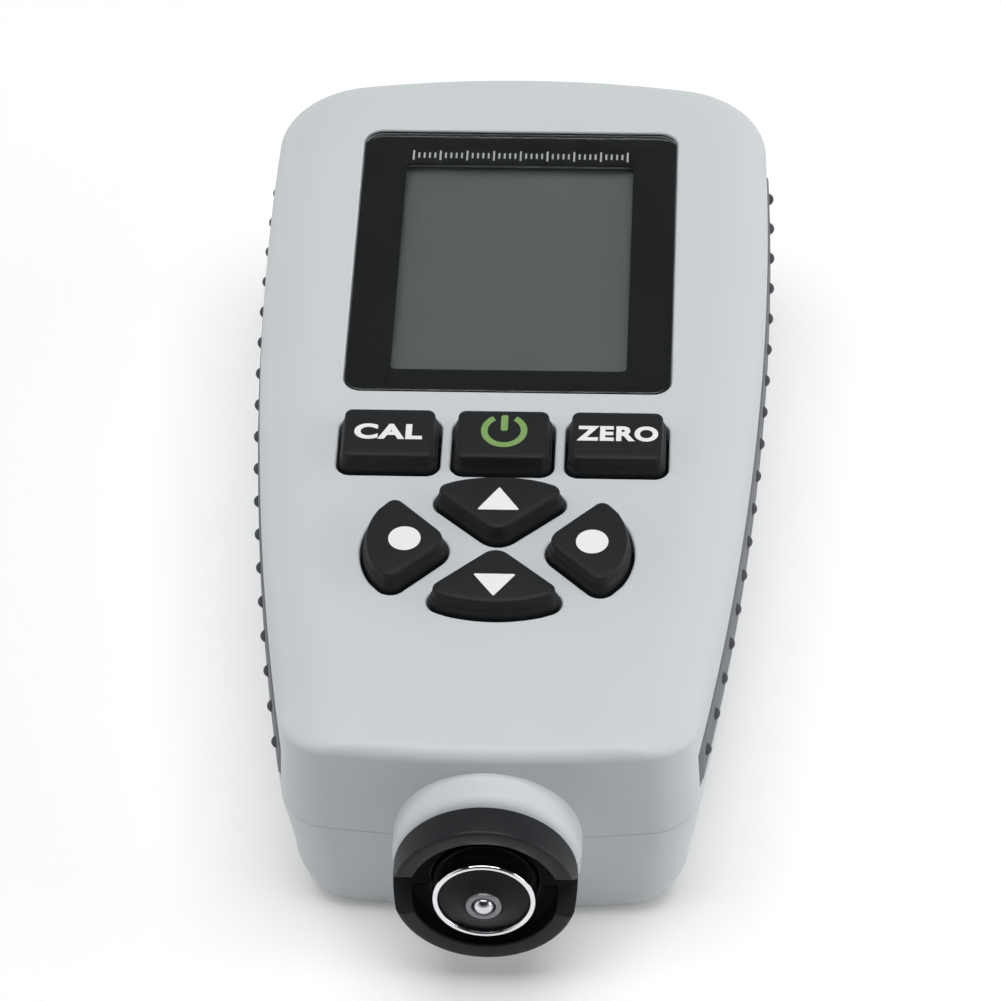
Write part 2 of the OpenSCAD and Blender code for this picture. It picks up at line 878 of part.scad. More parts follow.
module probe_sleeve() {
    bore = sleeve_r - sleeve_t;
    color(STEEL)
        on_probe()
            rotate_extrude()
                difference() {
                    union() {
                        translate([bore, flange_at - probe_flange_t])
                            square([sleeve_t, sleeve_face - flange_at + probe_flange_t - sleeve_t / 2]);
                        translate([bore + sleeve_t / 2, sleeve_face - sleeve_t / 2])
                            circle(r = sleeve_t / 2);
                        translate([bore, flange_at - probe_flange_t])
                            square([flange_r - bore, probe_flange_t]);
                    }
                }
}

module probe_core() {
    bore = sleeve_r - sleeve_t - fit / 2;
    color(BLACK)
        on_probe()
            rotate_extrude()
                polygon([[bush_r + eps, -5], [bush_r + eps, sleeve_face + core_out],
                    [bush_r + 0.3, sleeve_face + core_out], [bore - 0.3, sleeve_face - 0.5],
                    [bore, sleeve_face - 0.5], [bore, 6], [bush_r + 0.7, 6], [bush_r + 0.7, -2],
                    [bore, -2], [bore, -5]]);
}

module probe_coil() {
    color(COPPER)
        on_probe()
            tube(sleeve_r - sleeve_t - 0.45, bush_r + 0.75, -1.9, 5.9);
}

module tip_bush() {
    color(STEEL)
        on_probe()
            rotate_extrude()
                polygon([[tip_r + eps, -4], [bush_r, -4], [bush_r, sleeve_face + bush_out - 0.2],
                    [bush_r - 0.2, sleeve_face + bush_out], [tip_r + eps, sleeve_face + bush_out]]);
}

module probe_tip() {
    color(STEEL)
        on_probe() {
            translate([0, 0, -4.5])
                cylinder(r = tip_r, h = sleeve_face + tip_out - tip_r + 4.5);
            translate([0, 0, sleeve_face + tip_out - tip_r])
                sphere(r = tip_r);
        }
}

module probe_spring() {
    r = flange_r - spring_wire - 0.3;
    color(STEEL)
        on_probe()
            translate([0, 0, guide_end + eps])
                coil(r, r, flange_at - probe_flange_t - guide_end - 2 * eps, spring_turns, spring_wire);
}

module probe_end_cap() {
    color(BLACK)
        on_probe()
            tube(barrel_r - 0.2, 2, guide_end - cap_t, guide_end);
}

// Lead from the end cap to the face of the plug under the board
module probe_lead() {
    u = nav_at + 6 + plug_l / 2;
    w = board_top + board_t + plug_h / 2;
    y_a = y_end - guide_end + cap_t + 0.2;
    y_b = y_window - u * cos(deck_slope) + w * sin(deck_slope) - fit;
    z_b = deck_z(y_window) - u * sin(deck_slope) - w * cos(deck_slope);
    rise = z_b - probe_z;
    run_y = y_b - y_a;
    color(BLACK)
        for (s = [-1, 1])
            translate([s * (lead_r + 0.15), 0, 0])
                skin([for (i = [0 : 10])
                    let (f = i / 10)
                    let (c = [y_a + run_y * f, probe_z + rise * f * f * (3 - 2 * f)])
                    let (e = unit([run_y, rise * 6 * f * (1 - f)]))
                    [for (j = [0 : 7]) let (b = -45 * j)
                        [lead_r * cos(b), c[0] - lead_r * sin(b) * e[1], c[1] + lead_r * sin(b) * e[0]]]]);
}

module lead_plug() {
    color(WHITE)
        on_deck()
            translate([-plug_w / 2, -nav_at - 6 - plug_l / 2, -board_top - board_t - plug_h])
                cube([plug_w, plug_l, plug_h]);
}

front_shell();
rear_shell();
left_grip();
right_grip();
display_window();
window_gasket();
lcd_panel();
lcd_holder();
zebra_strips();
keypad_mat();
cal_key();
power_key();
zero_key();
up_key();
down_key();
left_key();
right_key();
main_board();
controller_chip();
buzzer();
battery_cells();
battery_springs();
battery_plates();
battery_door();
housing_screws();
board_screws();
probe_collar();
probe_sleeve();
probe_core();
probe_coil();
tip_bush();
probe_tip();
probe_spring();
probe_end_cap();
probe_lead();
lead_plug();
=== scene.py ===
"""Looks of a hand-held coating thickness gauge: shells, grips, window, keys, probe and studio.

Sizes are in millimetres and repeat those of the solids; meshes are written in metres.
The gauge lies on its back, the probe points to -Y and the display end to +Y.
"""

from __future__ import annotations

import json
import logging
import math
from dataclasses import dataclass, field
from enum import Enum
from typing import Any, Iterable, Sequence

import bmesh
import bpy
from mathutils import Matrix, Vector

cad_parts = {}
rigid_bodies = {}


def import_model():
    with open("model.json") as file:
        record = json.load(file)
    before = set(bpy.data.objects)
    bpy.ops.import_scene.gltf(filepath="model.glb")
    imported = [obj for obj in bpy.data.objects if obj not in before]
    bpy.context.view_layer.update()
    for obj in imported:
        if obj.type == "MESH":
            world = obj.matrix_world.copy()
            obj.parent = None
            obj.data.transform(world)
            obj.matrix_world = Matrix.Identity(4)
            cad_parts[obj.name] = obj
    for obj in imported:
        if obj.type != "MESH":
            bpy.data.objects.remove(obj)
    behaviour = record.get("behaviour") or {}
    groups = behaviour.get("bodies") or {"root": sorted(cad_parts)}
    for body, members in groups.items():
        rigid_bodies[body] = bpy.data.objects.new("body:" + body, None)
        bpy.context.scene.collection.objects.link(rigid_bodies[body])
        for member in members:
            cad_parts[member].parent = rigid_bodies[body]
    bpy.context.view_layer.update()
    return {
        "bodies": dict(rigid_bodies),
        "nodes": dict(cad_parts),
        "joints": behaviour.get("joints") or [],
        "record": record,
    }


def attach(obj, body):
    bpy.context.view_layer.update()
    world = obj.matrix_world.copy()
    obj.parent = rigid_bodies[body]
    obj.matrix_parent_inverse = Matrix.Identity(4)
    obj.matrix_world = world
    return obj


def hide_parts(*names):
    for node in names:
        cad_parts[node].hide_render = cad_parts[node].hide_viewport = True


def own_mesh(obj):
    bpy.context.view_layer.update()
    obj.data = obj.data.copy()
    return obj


LOG = logging.getLogger("gauge")
MM = 0.001
IMAGE_SIZE = 1001
SENSOR_WIDTH = 36.0
SPECK_RADIUS = 0.12
SPECK_SCALE = 900.0
SPECK_COLOUR = (0.30, 0.31, 0.33, 1.0)
WHITE = (1.0, 1.0, 1.0, 1.0)
FLOAT, VECTOR, COLOUR = "NodeSocketFloat", "NodeSocketVector", "NodeSocketColor"
GEOMETRY, MATERIAL = "NodeSocketGeometry", "NodeSocketMaterial"
Flat = tuple[float, float]
Spot = tuple[float, float, float]
Curve = list[Flat]
Loop = list[Spot]
Verts = list[bmesh.types.BMVert]
Piece = bpy.types.Object
Tree = bpy.types.NodeTree
Socket = bpy.types.NodeSocket
Material = bpy.types.Material


class Body(Enum):
    """Bodies of the solid model that pieces ride on, apart from the keys' own."""

    HOUSING = "housing"
    PROBE = "probe"
    DOOR = "door"


class Mark(Enum):
    """Printed marks on the keys."""

    LETTERS = "letters"
    POWER = "power"
    ARROW = "arrow"
    DOT = "dot"


# Plane curves


def arc(centre: Flat, radius: float, start: float, end: float, steps: int) -> Curve:
    """Points on an arc, both ends included.

    Args:
        centre: Middle of the arc.
        radius: Its radius.
        start: First angle in degrees.
        end: Last angle in degrees.
        steps: Number of spans.

    Returns:
        The points in order.
    """
    angles = [math.radians(start + (end - start) * i / steps) for i in range(steps + 1)]
    return [(centre[0] + radius * math.cos(a), centre[1] + radius * math.sin(a)) for a in angles]


def circle(radius: float, middle: Flat = (0.0, 0.0), steps: int = 40) -> Curve:
    """Points of a full circle."""
    return arc(middle, radius, 0.0, 360.0, steps)[:-1]


def quarter(steps: int) -> Curve:
    """Sine and cosine at even steps of a quarter turn, from 0 to 90 degrees."""
    turns = [math.radians(90 * i / steps) for i in range(steps + 1)]
    return [(math.sin(t), math.cos(t)) for t in turns]


def heading(from_spot: Flat, to_spot: Flat) -> float:
    """Direction in degrees from one point to another."""
    return math.degrees(math.atan2(to_spot[1] - from_spot[1], to_spot[0] - from_spot[0]))


def rounded_corner(before: Flat, corner: Flat, after: Flat, radius: float, steps: int) -> Curve:
    """Rounds one corner of a counter-clockwise outline.

    Args:
        before: Corner before it.
        corner: The corner itself.
        after: Corner after it.
        radius: Rounding radius.
        steps: Spans on the arc.

    Returns:
        Points of the arc.
    """
    here = Vector(corner)
    back = (Vector(before) - here).normalized()
    ahead = (Vector(after) - here).normalized()
    half = math.acos(max(-1.0, min(1.0, back.dot(ahead)))) / 2
    middle = here + (back + ahead).normalized() * radius / math.sin(half)
    first = here + back * radius / math.tan(half)
    start = heading(tuple(middle), tuple(first))
    return arc(tuple(middle), radius, start, start + 180 - 2 * math.degrees(half), steps)


def outline(corners: Sequence[Spot], steps: int = 10) -> Curve:
    """Outline through corners given as x, y and rounding radius.

    Args:
        corners: Corners in counter-clockwise order.
        steps: Spans on each rounding.

    Returns:
        Points of the outline.
    """
    points: Curve = []
    for i, (x, y, radius) in enumerate(corners):
        if radius > 0:
            before, after = corners[i - 1], corners[(i + 1) % len(corners)]
            points += rounded_corner(before[:2], (x, y), after[:2], radius, steps)
        else:
            points.append((x, y))
    return points


def rounded_box(width: float, length: float, radius: float, middle: Flat = (0.0, 0.0)) -> Curve:
    """Rounded rectangle round a middle point."""
    halves = [(a * width / 2, b * length / 2) for a, b in ((1, -1), (1, 1), (-1, 1), (-1, -1))]
    return outline([(middle[0] + x, middle[1] + y, radius) for x, y in halves])


def moved_in(points: Sequence[Flat], distance: float) -> Curve:
    """Outline moved inward, or outward where the distance is negative.

    Args:
        points: Counter-clockwise outline.
        distance: How far each point moves.

    Returns:
        The moved outline with the same number of points.
    """
    result: Curve = []
    for i, point in enumerate(points):
        here = Vector(point)
        back = (here - Vector(points[i - 1])).normalized()
        ahead = (Vector(points[(i + 1) % len(points)]) - here).normalized()
        along = (back + ahead).normalized()
        result.append((point[0] - distance * along.y, point[1] + distance * along.x))
    return result


# Meshes


def add_object(name: str, data: bpy.types.ID) -> Piece:
    """Makes an object of some data and links it to the scene.

    Args:
        name: Object name.
        data: Its mesh, lettering, camera or light.

    Returns:
        The object.
    """
    obj = bpy.data.objects.new(name, data)
    bpy.context.scene.collection.objects.link(obj)
    return obj


class Draft:
    """A mesh under construction, made of loops of points in millimetres."""

    def __init__(self) -> None:
        """Starts an empty mesh."""
        self.bm = bmesh.new()

    def loop(self, points: Iterable[Spot]) -> Verts:
        """Adds a loop of vertices."""
        return [self.bm.verts.new((p[0] * MM, p[1] * MM, p[2] * MM)) for p in points]

    def bridge(self, low: Verts, high: Verts) -> None:
        """Joins two loops of equal count with a band of faces."""
        for corners in zip(low, low[1:] + low[:1], high[1:] + high[:1], high):
            self.bm.faces.new(corners)

    def tube(self, loops: Sequence[Iterable[Spot]]) -> list[Verts]:
        """Joins loops in order and leaves both ends open.

        Args:
            loops: Loops of equal count.

        Returns:
            The vertex loops.
        """
        made = [self.loop(points) for points in loops]
        for low, high in zip(made, made[1:]):
            self.bridge(low, high)
        return made

    def solid(self, loops: Sequence[Iterable[Spot]]) -> None:
        """Joins loops in order and closes both ends.

        Args:
            loops: Loops of equal count.
        """
        made = self.tube(loops)
        self.bm.faces.new(list(reversed(made[0])))
        self.bm.faces.new(made[-1])

    def prism(self, points: Sequence[Flat], low: float, high: float) -> None:
        """Adds an upright prism between two heights."""
        self.solid([[(x, y, z) for x, y in points] for z in (low, high)])

    def ring(self, loops: Sequence[Iterable[Spot]]) -> None:
        """Joins loops in order and the last one to the first."""
        made = self.tube(loops)
        self.bridge(made[-1], made[0])

    def plate(self, loops: Sequence[Verts], normal: Vector) -> None:
        """Fills a flat area between an outer loop and holes.

        Args:
            loops: Outer loop and hole loops.
            normal: Direction that the area faces.
        """
        edges = []
        for verts in loops:
            for pair in zip(verts, verts[1:] + verts[:1]):
                edges.append(self.bm.edges.get(pair) or self.bm.edges.new(pair))
        bmesh.ops.triangle_fill(self.bm, use_beauty=True, edges=edges, normal=normal)

    def finish(self, name: str, material: Material, angle: float = 34.0) -> Piece:
        """Closes the mesh and makes an object of it.

        Args:
            name: Object name.
            material: Its finish.
            angle: Edges sharper than this stay sharp, in degrees.

        Returns:
            The object, at the origin.
        """
        bmesh.ops.remove_doubles(self.bm, verts=self.bm.verts, dist=2e-7)
        bmesh.ops.dissolve_degenerate(self.bm, edges=self.bm.edges, dist=1e-8)
        bmesh.ops.recalc_face_normals(self.bm, faces=self.bm.faces)
        mesh = bpy.data.meshes.new(name)
        self.bm.to_mesh(mesh)
        self.bm.free()
        mesh.materials.append(material)
        obj = add_object(name, mesh)
        smooth(obj, angle)
        return obj


def solid_piece(name: str, loops: Sequence[Iterable[Spot]], material: Material,
                angle: float = 34.0) -> Piece:
    """Makes a closed piece of loops joined in order.

    Args:
        name: Object name.
        loops: Loops of equal count.
        material: Its finish.
        angle: Edges sharper than this stay sharp, in degrees.

    Returns:
        The piece.
    """
    draft = Draft()
    draft.solid(loops)
    return draft.finish(name, material, angle)


def reopened(obj: Piece) -> Draft:
    """Takes a finished mesh back into a draft and removes its object.

    Args:
        obj: Object that holds the mesh.

    Returns:
        The draft.
    """
    draft = Draft()
    draft.bm.from_mesh(obj.data)
    bpy.data.objects.remove(obj)
    return draft


def block(low: Spot, high: Spot) -> Draft:
    """Draft of a plain block used as a cutting tool.

    Args:
        low: Its lowest corner.
        high: Its highest corner.

    Returns:
        The draft.
    """
    draft = Draft()
    corners = [(low[0], low[1]), (high[0], low[1]), (high[0], high[1]), (low[0], high[1])]
    draft.prism(corners, low[2], high[2])
    return draft


def smooth(obj: Piece, angle: float) -> None:
    """Shades an object smooth up to an angle in degrees."""
    obj.data.polygons.foreach_set("use_smooth", [True] * len(obj.data.polygons))
    obj.data.set_sharp_from_angle(angle=math.radians(angle))


def settle(obj: Piece) -> None:
    """Turns an object with modifiers into a plain mesh.

    Args:
        obj: The object.
    """
    depsgraph = bpy.context.evaluated_depsgraph_get()
    mesh = bpy.data.meshes.new_from_object(obj.evaluated_get(depsgraph))
    mesh.name = obj.name
    obj.modifiers.clear()
    old = obj.data
    obj.data = mesh
    bpy.data.meshes.remove(old)


def soften(obj: Piece, width: float, angle: float) -> None:
    """Rounds the sharp edges of a rigid piece.

    Args:
        obj: The piece.
        width: Width of the rounding in millimetres.
        angle: Edges sharper than this are rounded, in degrees.
    """
    bevel = obj.modifiers.new("edge", "BEVEL")
    bevel.width = width * MM
    bevel.segments = 3
    bevel.limit_method = "ANGLE"
    bevel.angle_limit = math.radians(angle)
    bevel.use_clamp_overlap = True
    settle(obj)


def even_out(obj: Piece) -> Piece:
    """Lets the large faces lead the shading, so that flats beside roundings look flat.

    Args:
        obj: The piece.

    Returns:
        The same piece.
    """
    weigh = obj.modifiers.new("flat_shading", "WEIGHTED_NORMAL")
    weigh.keep_sharp = True
    settle(obj)
    return obj


def carve(target: Piece, tool: Piece, keep: str = "DIFFERENCE") -> None:
    """Cuts one mesh with another and removes the tool.

    Args:
        target: Mesh that is changed.
        tool: Mesh that cuts.
        keep: Boolean operation.
    """
    cut = target.modifiers.new("cut", "BOOLEAN")
    cut.operation = keep
    cut.solver = "EXACT"
    cut.object = tool
    settle(target)
    bpy.data.objects.remove(tool)


# Node trees


def feed(tree: Tree, node: bpy.types.Node, inputs: dict[str | int, Any]) -> None:
    """Sets or links inputs of a node.

    Args:
        tree: Tree that holds the node.
        node: The node.
        inputs: Value or socket for each input, by name or place.
    """
    for key, value in inputs.items():
        if isinstance(value, Socket):
            tree.links.new(value, node.inputs[key])
        else:
            node.inputs[key].default_value = value


def add_node(tree: Tree, kind: str, inputs: dict[str | int, Any] | None = None,
             **settings: Any) -> Any:
    """Adds a node to a tree.

    Args:
        tree: Tree that gets it.
        kind: Node type.
        inputs: Value or socket for each input, by name or place.
        settings: Properties of the node, set before its inputs.

    Returns:
        The node's outputs.
    """
    node = tree.nodes.new(kind)
    for name, value in settings.items():
        setattr(node, name, value)
    feed(tree, node, inputs or {})
    return node.outputs


def calc(tree: Tree, operation: str, *values: Any) -> Socket:
    """Adds a Math node and returns its result."""
    return add_node(tree, "ShaderNodeMath", dict(enumerate(values)), operation=operation)[0]


def mixed(tree: Tree, share: Any, first: Any, second: Any) -> Socket:
    """Adds a mix of two colours and returns its result."""
    inputs = {"Factor": share, "A": first, "B": second}
    return add_node(tree, "ShaderNodeMix", inputs, data_type="RGBA")["Result"]


def open_group(name: str, kind: str, inputs: dict[str, str],
               outputs: dict[str, str]) -> tuple[Tree, Any, dict[str, str]]:
    """Makes a node group with named sockets.

    Args:
        name: Group name.
        kind: Tree type.
        inputs: Socket type by name.
        outputs: Socket type by name.

    Returns:
        The group, the sockets that it is given and the identifiers of its inputs.
    """
    group = bpy.data.node_groups.new(name, kind)
    new_socket = group.interface.new_socket
    keys = {label: new_socket(label, in_out="INPUT", socket_type=sort).identifier
            for label, sort in inputs.items()}
    for label, sort in outputs.items():
        new_socket(label, in_out="OUTPUT", socket_type=sort)
    return group, add_node(group, "NodeGroupInput"), keys


# Finishes


def moulded_group() -> Tree:
    """Group for moulded and drawn surfaces: fine grain, cloudy tone and uneven gloss.

    Returns:
        The group with outputs Colour, Roughness and Height.
    """
    group, given, _ = open_group(
        "moulded_surface", "ShaderNodeTree",
        {"Place": VECTOR, "Colour": COLOUR, "Shade": COLOUR, "Roughness": FLOAT,
         "Gloss Spread": FLOAT, "Grain Scale": FLOAT, "Cloud Scale": FLOAT},
        {"Colour": COLOUR, "Roughness": FLOAT, "Height": FLOAT})
    grain = add_node(group, "ShaderNodeTexNoise", {
        "Vector": given["Place"], "Scale": given["Grain Scale"], "Detail": 3.0,
        "Roughness": 0.6})["Fac"]
    cloud = add_node(group, "ShaderNodeTexNoise", {
        "Vector": given["Place"], "Scale": given["Cloud Scale"], "Detail": 4.0})["Fac"]
    uneven = calc(group, "MULTIPLY", grain, cloud)
    gloss = calc(group, "MULTIPLY_ADD", uneven, given["Gloss Spread"], given["Roughness"])
    tone = mixed(group, cloud, given["Colour"], given["Shade"])
    add_node(group, "NodeGroupOutput", {"Colour": tone, "Roughness": gloss, "Height": grain})
    return group


def speck_group() -> Tree:
    """Group for sparse fine specks, as on rubber and handled plastic.

    Returns:
        The group with the output Mask.
    """
    group, given, _ = open_group(
        "fine_specks", "ShaderNodeTree", {"Place": VECTOR, "Scale": FLOAT, "Amount": FLOAT},
        {"Mask": FLOAT})
    inputs = {"Vector": given["Place"], "Scale": given["Scale"]}
    spots = add_node(group, "ShaderNodeTexVoronoi", inputs)
    near = calc(group, "LESS_THAN", spots["Distance"], SPECK_RADIUS)
    add_node(group, "NodeGroupOutput", {"Mask": calc(group, "MULTIPLY", near, given["Amount"])})
    return group


@dataclass(frozen=True)
class Finish:
    """One finish of the gauge and the node material that shows it."""

    name: str
    colour: Spot
    shade: Spot
    roughness: float
    gloss_spread: float = 0.1
    grain_scale: float = 4000.0
    grain_depth: float = 0.02
    cloud_scale: float = 60.0
    metallic: float = 0.0
    specular: float = 0.5
    specks: float = 0.0
    transmission: float = 0.0
    ior: float = 1.5

    def build(self, groups: dict[str, Tree]) -> Material:
        """Makes the material.

        Args:
            groups: Shared shader groups by name.

        Returns:
            The node material.
        """
        material = bpy.data.materials.new(self.name)
        material.use_nodes = True
        tree = material.node_tree
        spot = add_node(tree, "ShaderNodeTexCoord")["Object"]
        surface = add_node(tree, "ShaderNodeGroup", {
            "Place": spot, "Colour": (*self.colour, 1.0), "Shade": (*self.shade, 1.0),
            "Roughness": self.roughness, "Gloss Spread": self.gloss_spread,
            "Grain Scale": self.grain_scale, "Cloud Scale": self.cloud_scale,
        }, node_tree=groups["moulded_surface"])
        colour = surface["Colour"]
        if self.specks:
            inputs = {"Place": spot, "Scale": SPECK_SCALE, "Amount": self.specks}
            specks = add_node(tree, "ShaderNodeGroup", inputs, node_tree=groups["fine_specks"])
            colour = mixed(tree, specks["Mask"], colour, SPECK_COLOUR)
        shader = tree.nodes["Principled BSDF"]
        feed(tree, shader, {
            "Metallic": self.metallic, "Specular IOR Level": self.specular, "IOR": self.ior,
            "Transmission Weight": self.transmission, "Base Color": colour,
            "Roughness": surface["Roughness"]})
        if self.grain_depth:
            inputs = {"Strength": 1.0, "Distance": self.grain_depth * MM,
                      "Height": surface["Height"]}
            feed(tree, shader, {"Normal": add_node(tree, "ShaderNodeBump", inputs)["Normal"]})
        return material


FINISHES: tuple[Finish, ...] = (
    Finish("shell_plastic", (0.590, 0.628, 0.645), (0.610, 0.645, 0.660), 0.42, 0.12, 5200, 0.012,
           specular=0.4),
    Finish("grip_rubber", (0.150, 0.158, 0.180), (0.172, 0.180, 0.202), 0.62, 0.2, 5000, 0.03,
           specks=0.05),
    # Copy of the grip rubber made darker for the bumps: painted shade on the bumps.
    Finish("bump_rubber", (0.050, 0.053, 0.060), (0.060, 0.063, 0.071), 0.62, 0.2, 5000, 0.03,
           specks=0.05),
    Finish("window_acrylic", (0.93, 0.95, 0.95), (0.95, 0.96, 0.96), 0.01, 0.01, 900, 0.0,
           transmission=1.0, ior=1.49),
    Finish("gasket_black", (0.009, 0.010, 0.011), (0.011, 0.012, 0.013), 0.35, 0.1, 3000, 0.004),
    Finish("lcd_grey", (0.184, 0.203, 0.194), (0.195, 0.214, 0.204), 0.30, 0.05, 2500, 0.0, 30.0),
    Finish("white_plastic", (0.74, 0.74, 0.71), (0.70, 0.70, 0.67), 0.45),
    Finish("zebra_rubber", (0.30, 0.25, 0.22), (0.22, 0.18, 0.16), 0.7),
    Finish("key_rubber", (0.0100, 0.0109, 0.0132), (0.0122, 0.0131, 0.0154), 0.46, 0.22, 4200,
           0.022, specular=0.22, specks=0.02),
    Finish("board_green", (0.02, 0.11, 0.04), (0.03, 0.15, 0.06), 0.35, 0.1, 1500, 0.01),
    Finish("part_black", (0.018, 0.018, 0.020), (0.025, 0.025, 0.027), 0.5),
    Finish("cell_jacket", (0.03, 0.05, 0.12), (0.04, 0.06, 0.14), 0.28),
    Finish("plain_steel", (0.55, 0.56, 0.58), (0.46, 0.47, 0.49), 0.24, 0.2, 2600, 0.006,
           metallic=1.0),
    Finish("collar_black", (0.0180, 0.0190, 0.0215), (0.0205, 0.0215, 0.024), 0.36, 0.15, 4600,
           0.012, specular=0.2),
    Finish("sleeve_chrome", (0.80, 0.81, 0.83), (0.74, 0.75, 0.77), 0.07, 0.08, 3000, 0.002,
           metallic=1.0),
    Finish("core_black", (0.0060, 0.0066, 0.0080), (0.008, 0.0086, 0.010), 0.34, 0.12, 4200, 0.006,
           specular=0.14),
    # Near-black matt finish of the skin in the collar's recess: painted shade.
    Finish("recess_black", (0.0030, 0.0033, 0.0038), (0.0036, 0.0039, 0.0044), 0.60, 0.10, 4200,
           0.006, specular=0.06),
    Finish("coil_copper", (0.62, 0.28, 0.11), (0.50, 0.20, 0.08), 0.3, 0.15, 2600, 0.02,
           metallic=1.0),
    Finish("tip_steel", (0.70, 0.71, 0.73), (0.62, 0.63, 0.65), 0.16, 0.12, 3200, 0.003,
           metallic=1.0),
    Finish("bush_steel", (0.24, 0.245, 0.255), (0.20, 0.205, 0.215), 0.40, 0.12, 3200, 0.003,
           metallic=1.0),
    Finish("lead_black", (0.02, 0.02, 0.021), (0.025, 0.025, 0.026), 0.5),
    Finish("print_white", (0.86, 0.87, 0.87), (0.80, 0.81, 0.81), 0.55, 0.15, 2600, 0.008),
    Finish("print_green", (0.205, 0.375, 0.105), (0.18, 0.33, 0.09), 0.5, 0.15, 2600, 0.008),
)


class Palette:
    """All finished materials by name."""

    def __init__(self) -> None:
        """Builds the shared groups and every finish."""
        groups = {"moulded_surface": moulded_group(), "fine_specks": speck_group()}
        self.materials = {finish.name: finish.build(groups) for finish in FINISHES}

    def __getitem__(self, name: str) -> Material:
        """Material of that name."""
        return self.materials[name]

    def dress_nodes(self, frame: dict) -> None:
        """Gives each solid of the frame the finish of its slot.
        """
        for entry in frame["record"]["subparts"]:
            mesh = frame["nodes"][entry["node"]].data
            mesh.materials.clear()
            mesh.materials.append(self[entry["material_slot"]])


def place(obj: Piece, body: str, slot: str, *nodes: str) -> None:
    """Fixes a finished piece to its body.

    Args:
        obj: The piece.
        body: Body that it rides on.
        slot: Material slot; not used.
        nodes: Solids that it stands for.
    """
    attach(obj, body)
    if nodes:
        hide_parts(*nodes)
    LOG.info("%s rides on %s, %d faces", obj.name, body, len(obj.data.polygons))


# Copies made with Geometry Nodes


def end_with_copies(tree: Tree, inputs: dict[str, Any], finish: Any) -> None:
    """Ends a tree with copies on points, made real and painted.

    Args:
        tree: The tree.
        inputs: Sockets for the points, the piece and its scale.
        finish: Socket of the material.
    """
    put = add_node(tree, "GeometryNodeInstanceOnPoints", inputs)["Instances"]
    real = add_node(tree, "GeometryNodeRealizeInstances", {"Geometry": put})["Geometry"]
    paint = add_node(tree, "GeometryNodeSetMaterial", {"Geometry": real, "Material": finish})
    add_node(tree, "NodeGroupOutput", {"Geometry": paint["Geometry"]})


def copies_tree() -> tuple[Tree, dict[str, str]]:
    """Tree that puts a copy of a piece on each point of a mesh.

    Returns:
        The tree and the identifiers of its inputs.
    """
    tree, given, keys = open_group(
        "copies_on_points", "GeometryNodeTree",
        {"Geometry": GEOMETRY, "Piece": "NodeSocketObject", "Finish": MATERIAL},
        {"Geometry": GEOMETRY})
    piece = add_node(tree, "GeometryNodeObjectInfo", {"Object": given["Piece"]})["Geometry"]
    end_with_copies(tree, {"Points": given["Geometry"], "Instance": piece}, given["Finish"])
    return tree, keys


def tick_tree() -> tuple[Tree, dict[str, str]]:
    """Tree that makes a row of printed tick marks, every fifth one long.

    Returns:
        The tree and the identifiers of its inputs.
    """
    tree, given, keys = open_group(
        "tick_row", "GeometryNodeTree",
        {"Geometry": GEOMETRY, "Count": "NodeSocketInt", "Pitch": FLOAT, "Stroke": VECTOR,
         "Short Share": FLOAT, "Finish": MATERIAL}, {"Geometry": GEOMETRY})
    step = add_node(tree, "ShaderNodeCombineXYZ", {"X": given["Pitch"]})["Vector"]
    row = add_node(tree, "GeometryNodeMeshLine", {"Count": given["Count"], "Offset": step})["Mesh"]
    stroke = add_node(tree, "GeometryNodeMeshCube", {"Size": given["Stroke"]})["Mesh"]
    fifth = calc(tree, "MODULO", add_node(tree, "GeometryNodeInputIndex")["Index"], 5.0)
    short = calc(tree, "GREATER_THAN", fifth, 0.5)
    tall = add_node(tree, "ShaderNodeMapRange", {
        "Value": short, "To Min": 1.0, "To Max": given["Short Share"]})["Result"]
    scale = add_node(tree, "ShaderNodeCombineXYZ", {"X": 1.0, "Y": tall, "Z": 1.0})["Vector"]
    end_with_copies(tree, {"Points": row, "Instance": stroke, "Scale": scale}, given["Finish"])
    return tree, keys


def run_tree(obj: Piece, tree: Tree, values: dict[str, Any]) -> None:
    """Runs a Geometry Nodes tree on an object and keeps the result as its mesh.

    Args:
        obj: The object.
        tree: The tree.
        values: Value of each input by socket identifier.
    """
    nodes = obj.modifiers.new(tree.name, "NODES")
    nodes.node_group = tree
    for key, value in values.items():
        nodes[key] = value
    settle(obj)


class Copier:
    """Places copies of a small piece on given points."""

    def __init__(self) -> None:
        """Builds the tree once."""
        self.tree, self.keys = copies_tree()

    def row(self, name: str, points: Iterable[Spot], piece: Piece,
            material: Material) -> Piece:
        """Makes one mesh of all the copies.

        Args:
            name: Name of the new object.
            points: Places in millimetres.
            piece: Piece to copy, modelled round the origin.
            material: Finish of the copies.

        Returns:
            The object that holds them.
        """
        draft = Draft()
        draft.loop(points)
        mesh = bpy.data.meshes.new(name)
        draft.bm.to_mesh(mesh)
        draft.bm.free()
        obj = add_object(name, mesh)
        run_tree(obj, self.tree, {self.keys["Piece"]: piece, self.keys["Finish"]: material})
        smooth(obj, 40.0)
        bpy.data.objects.remove(piece)
        return obj


# The gauge


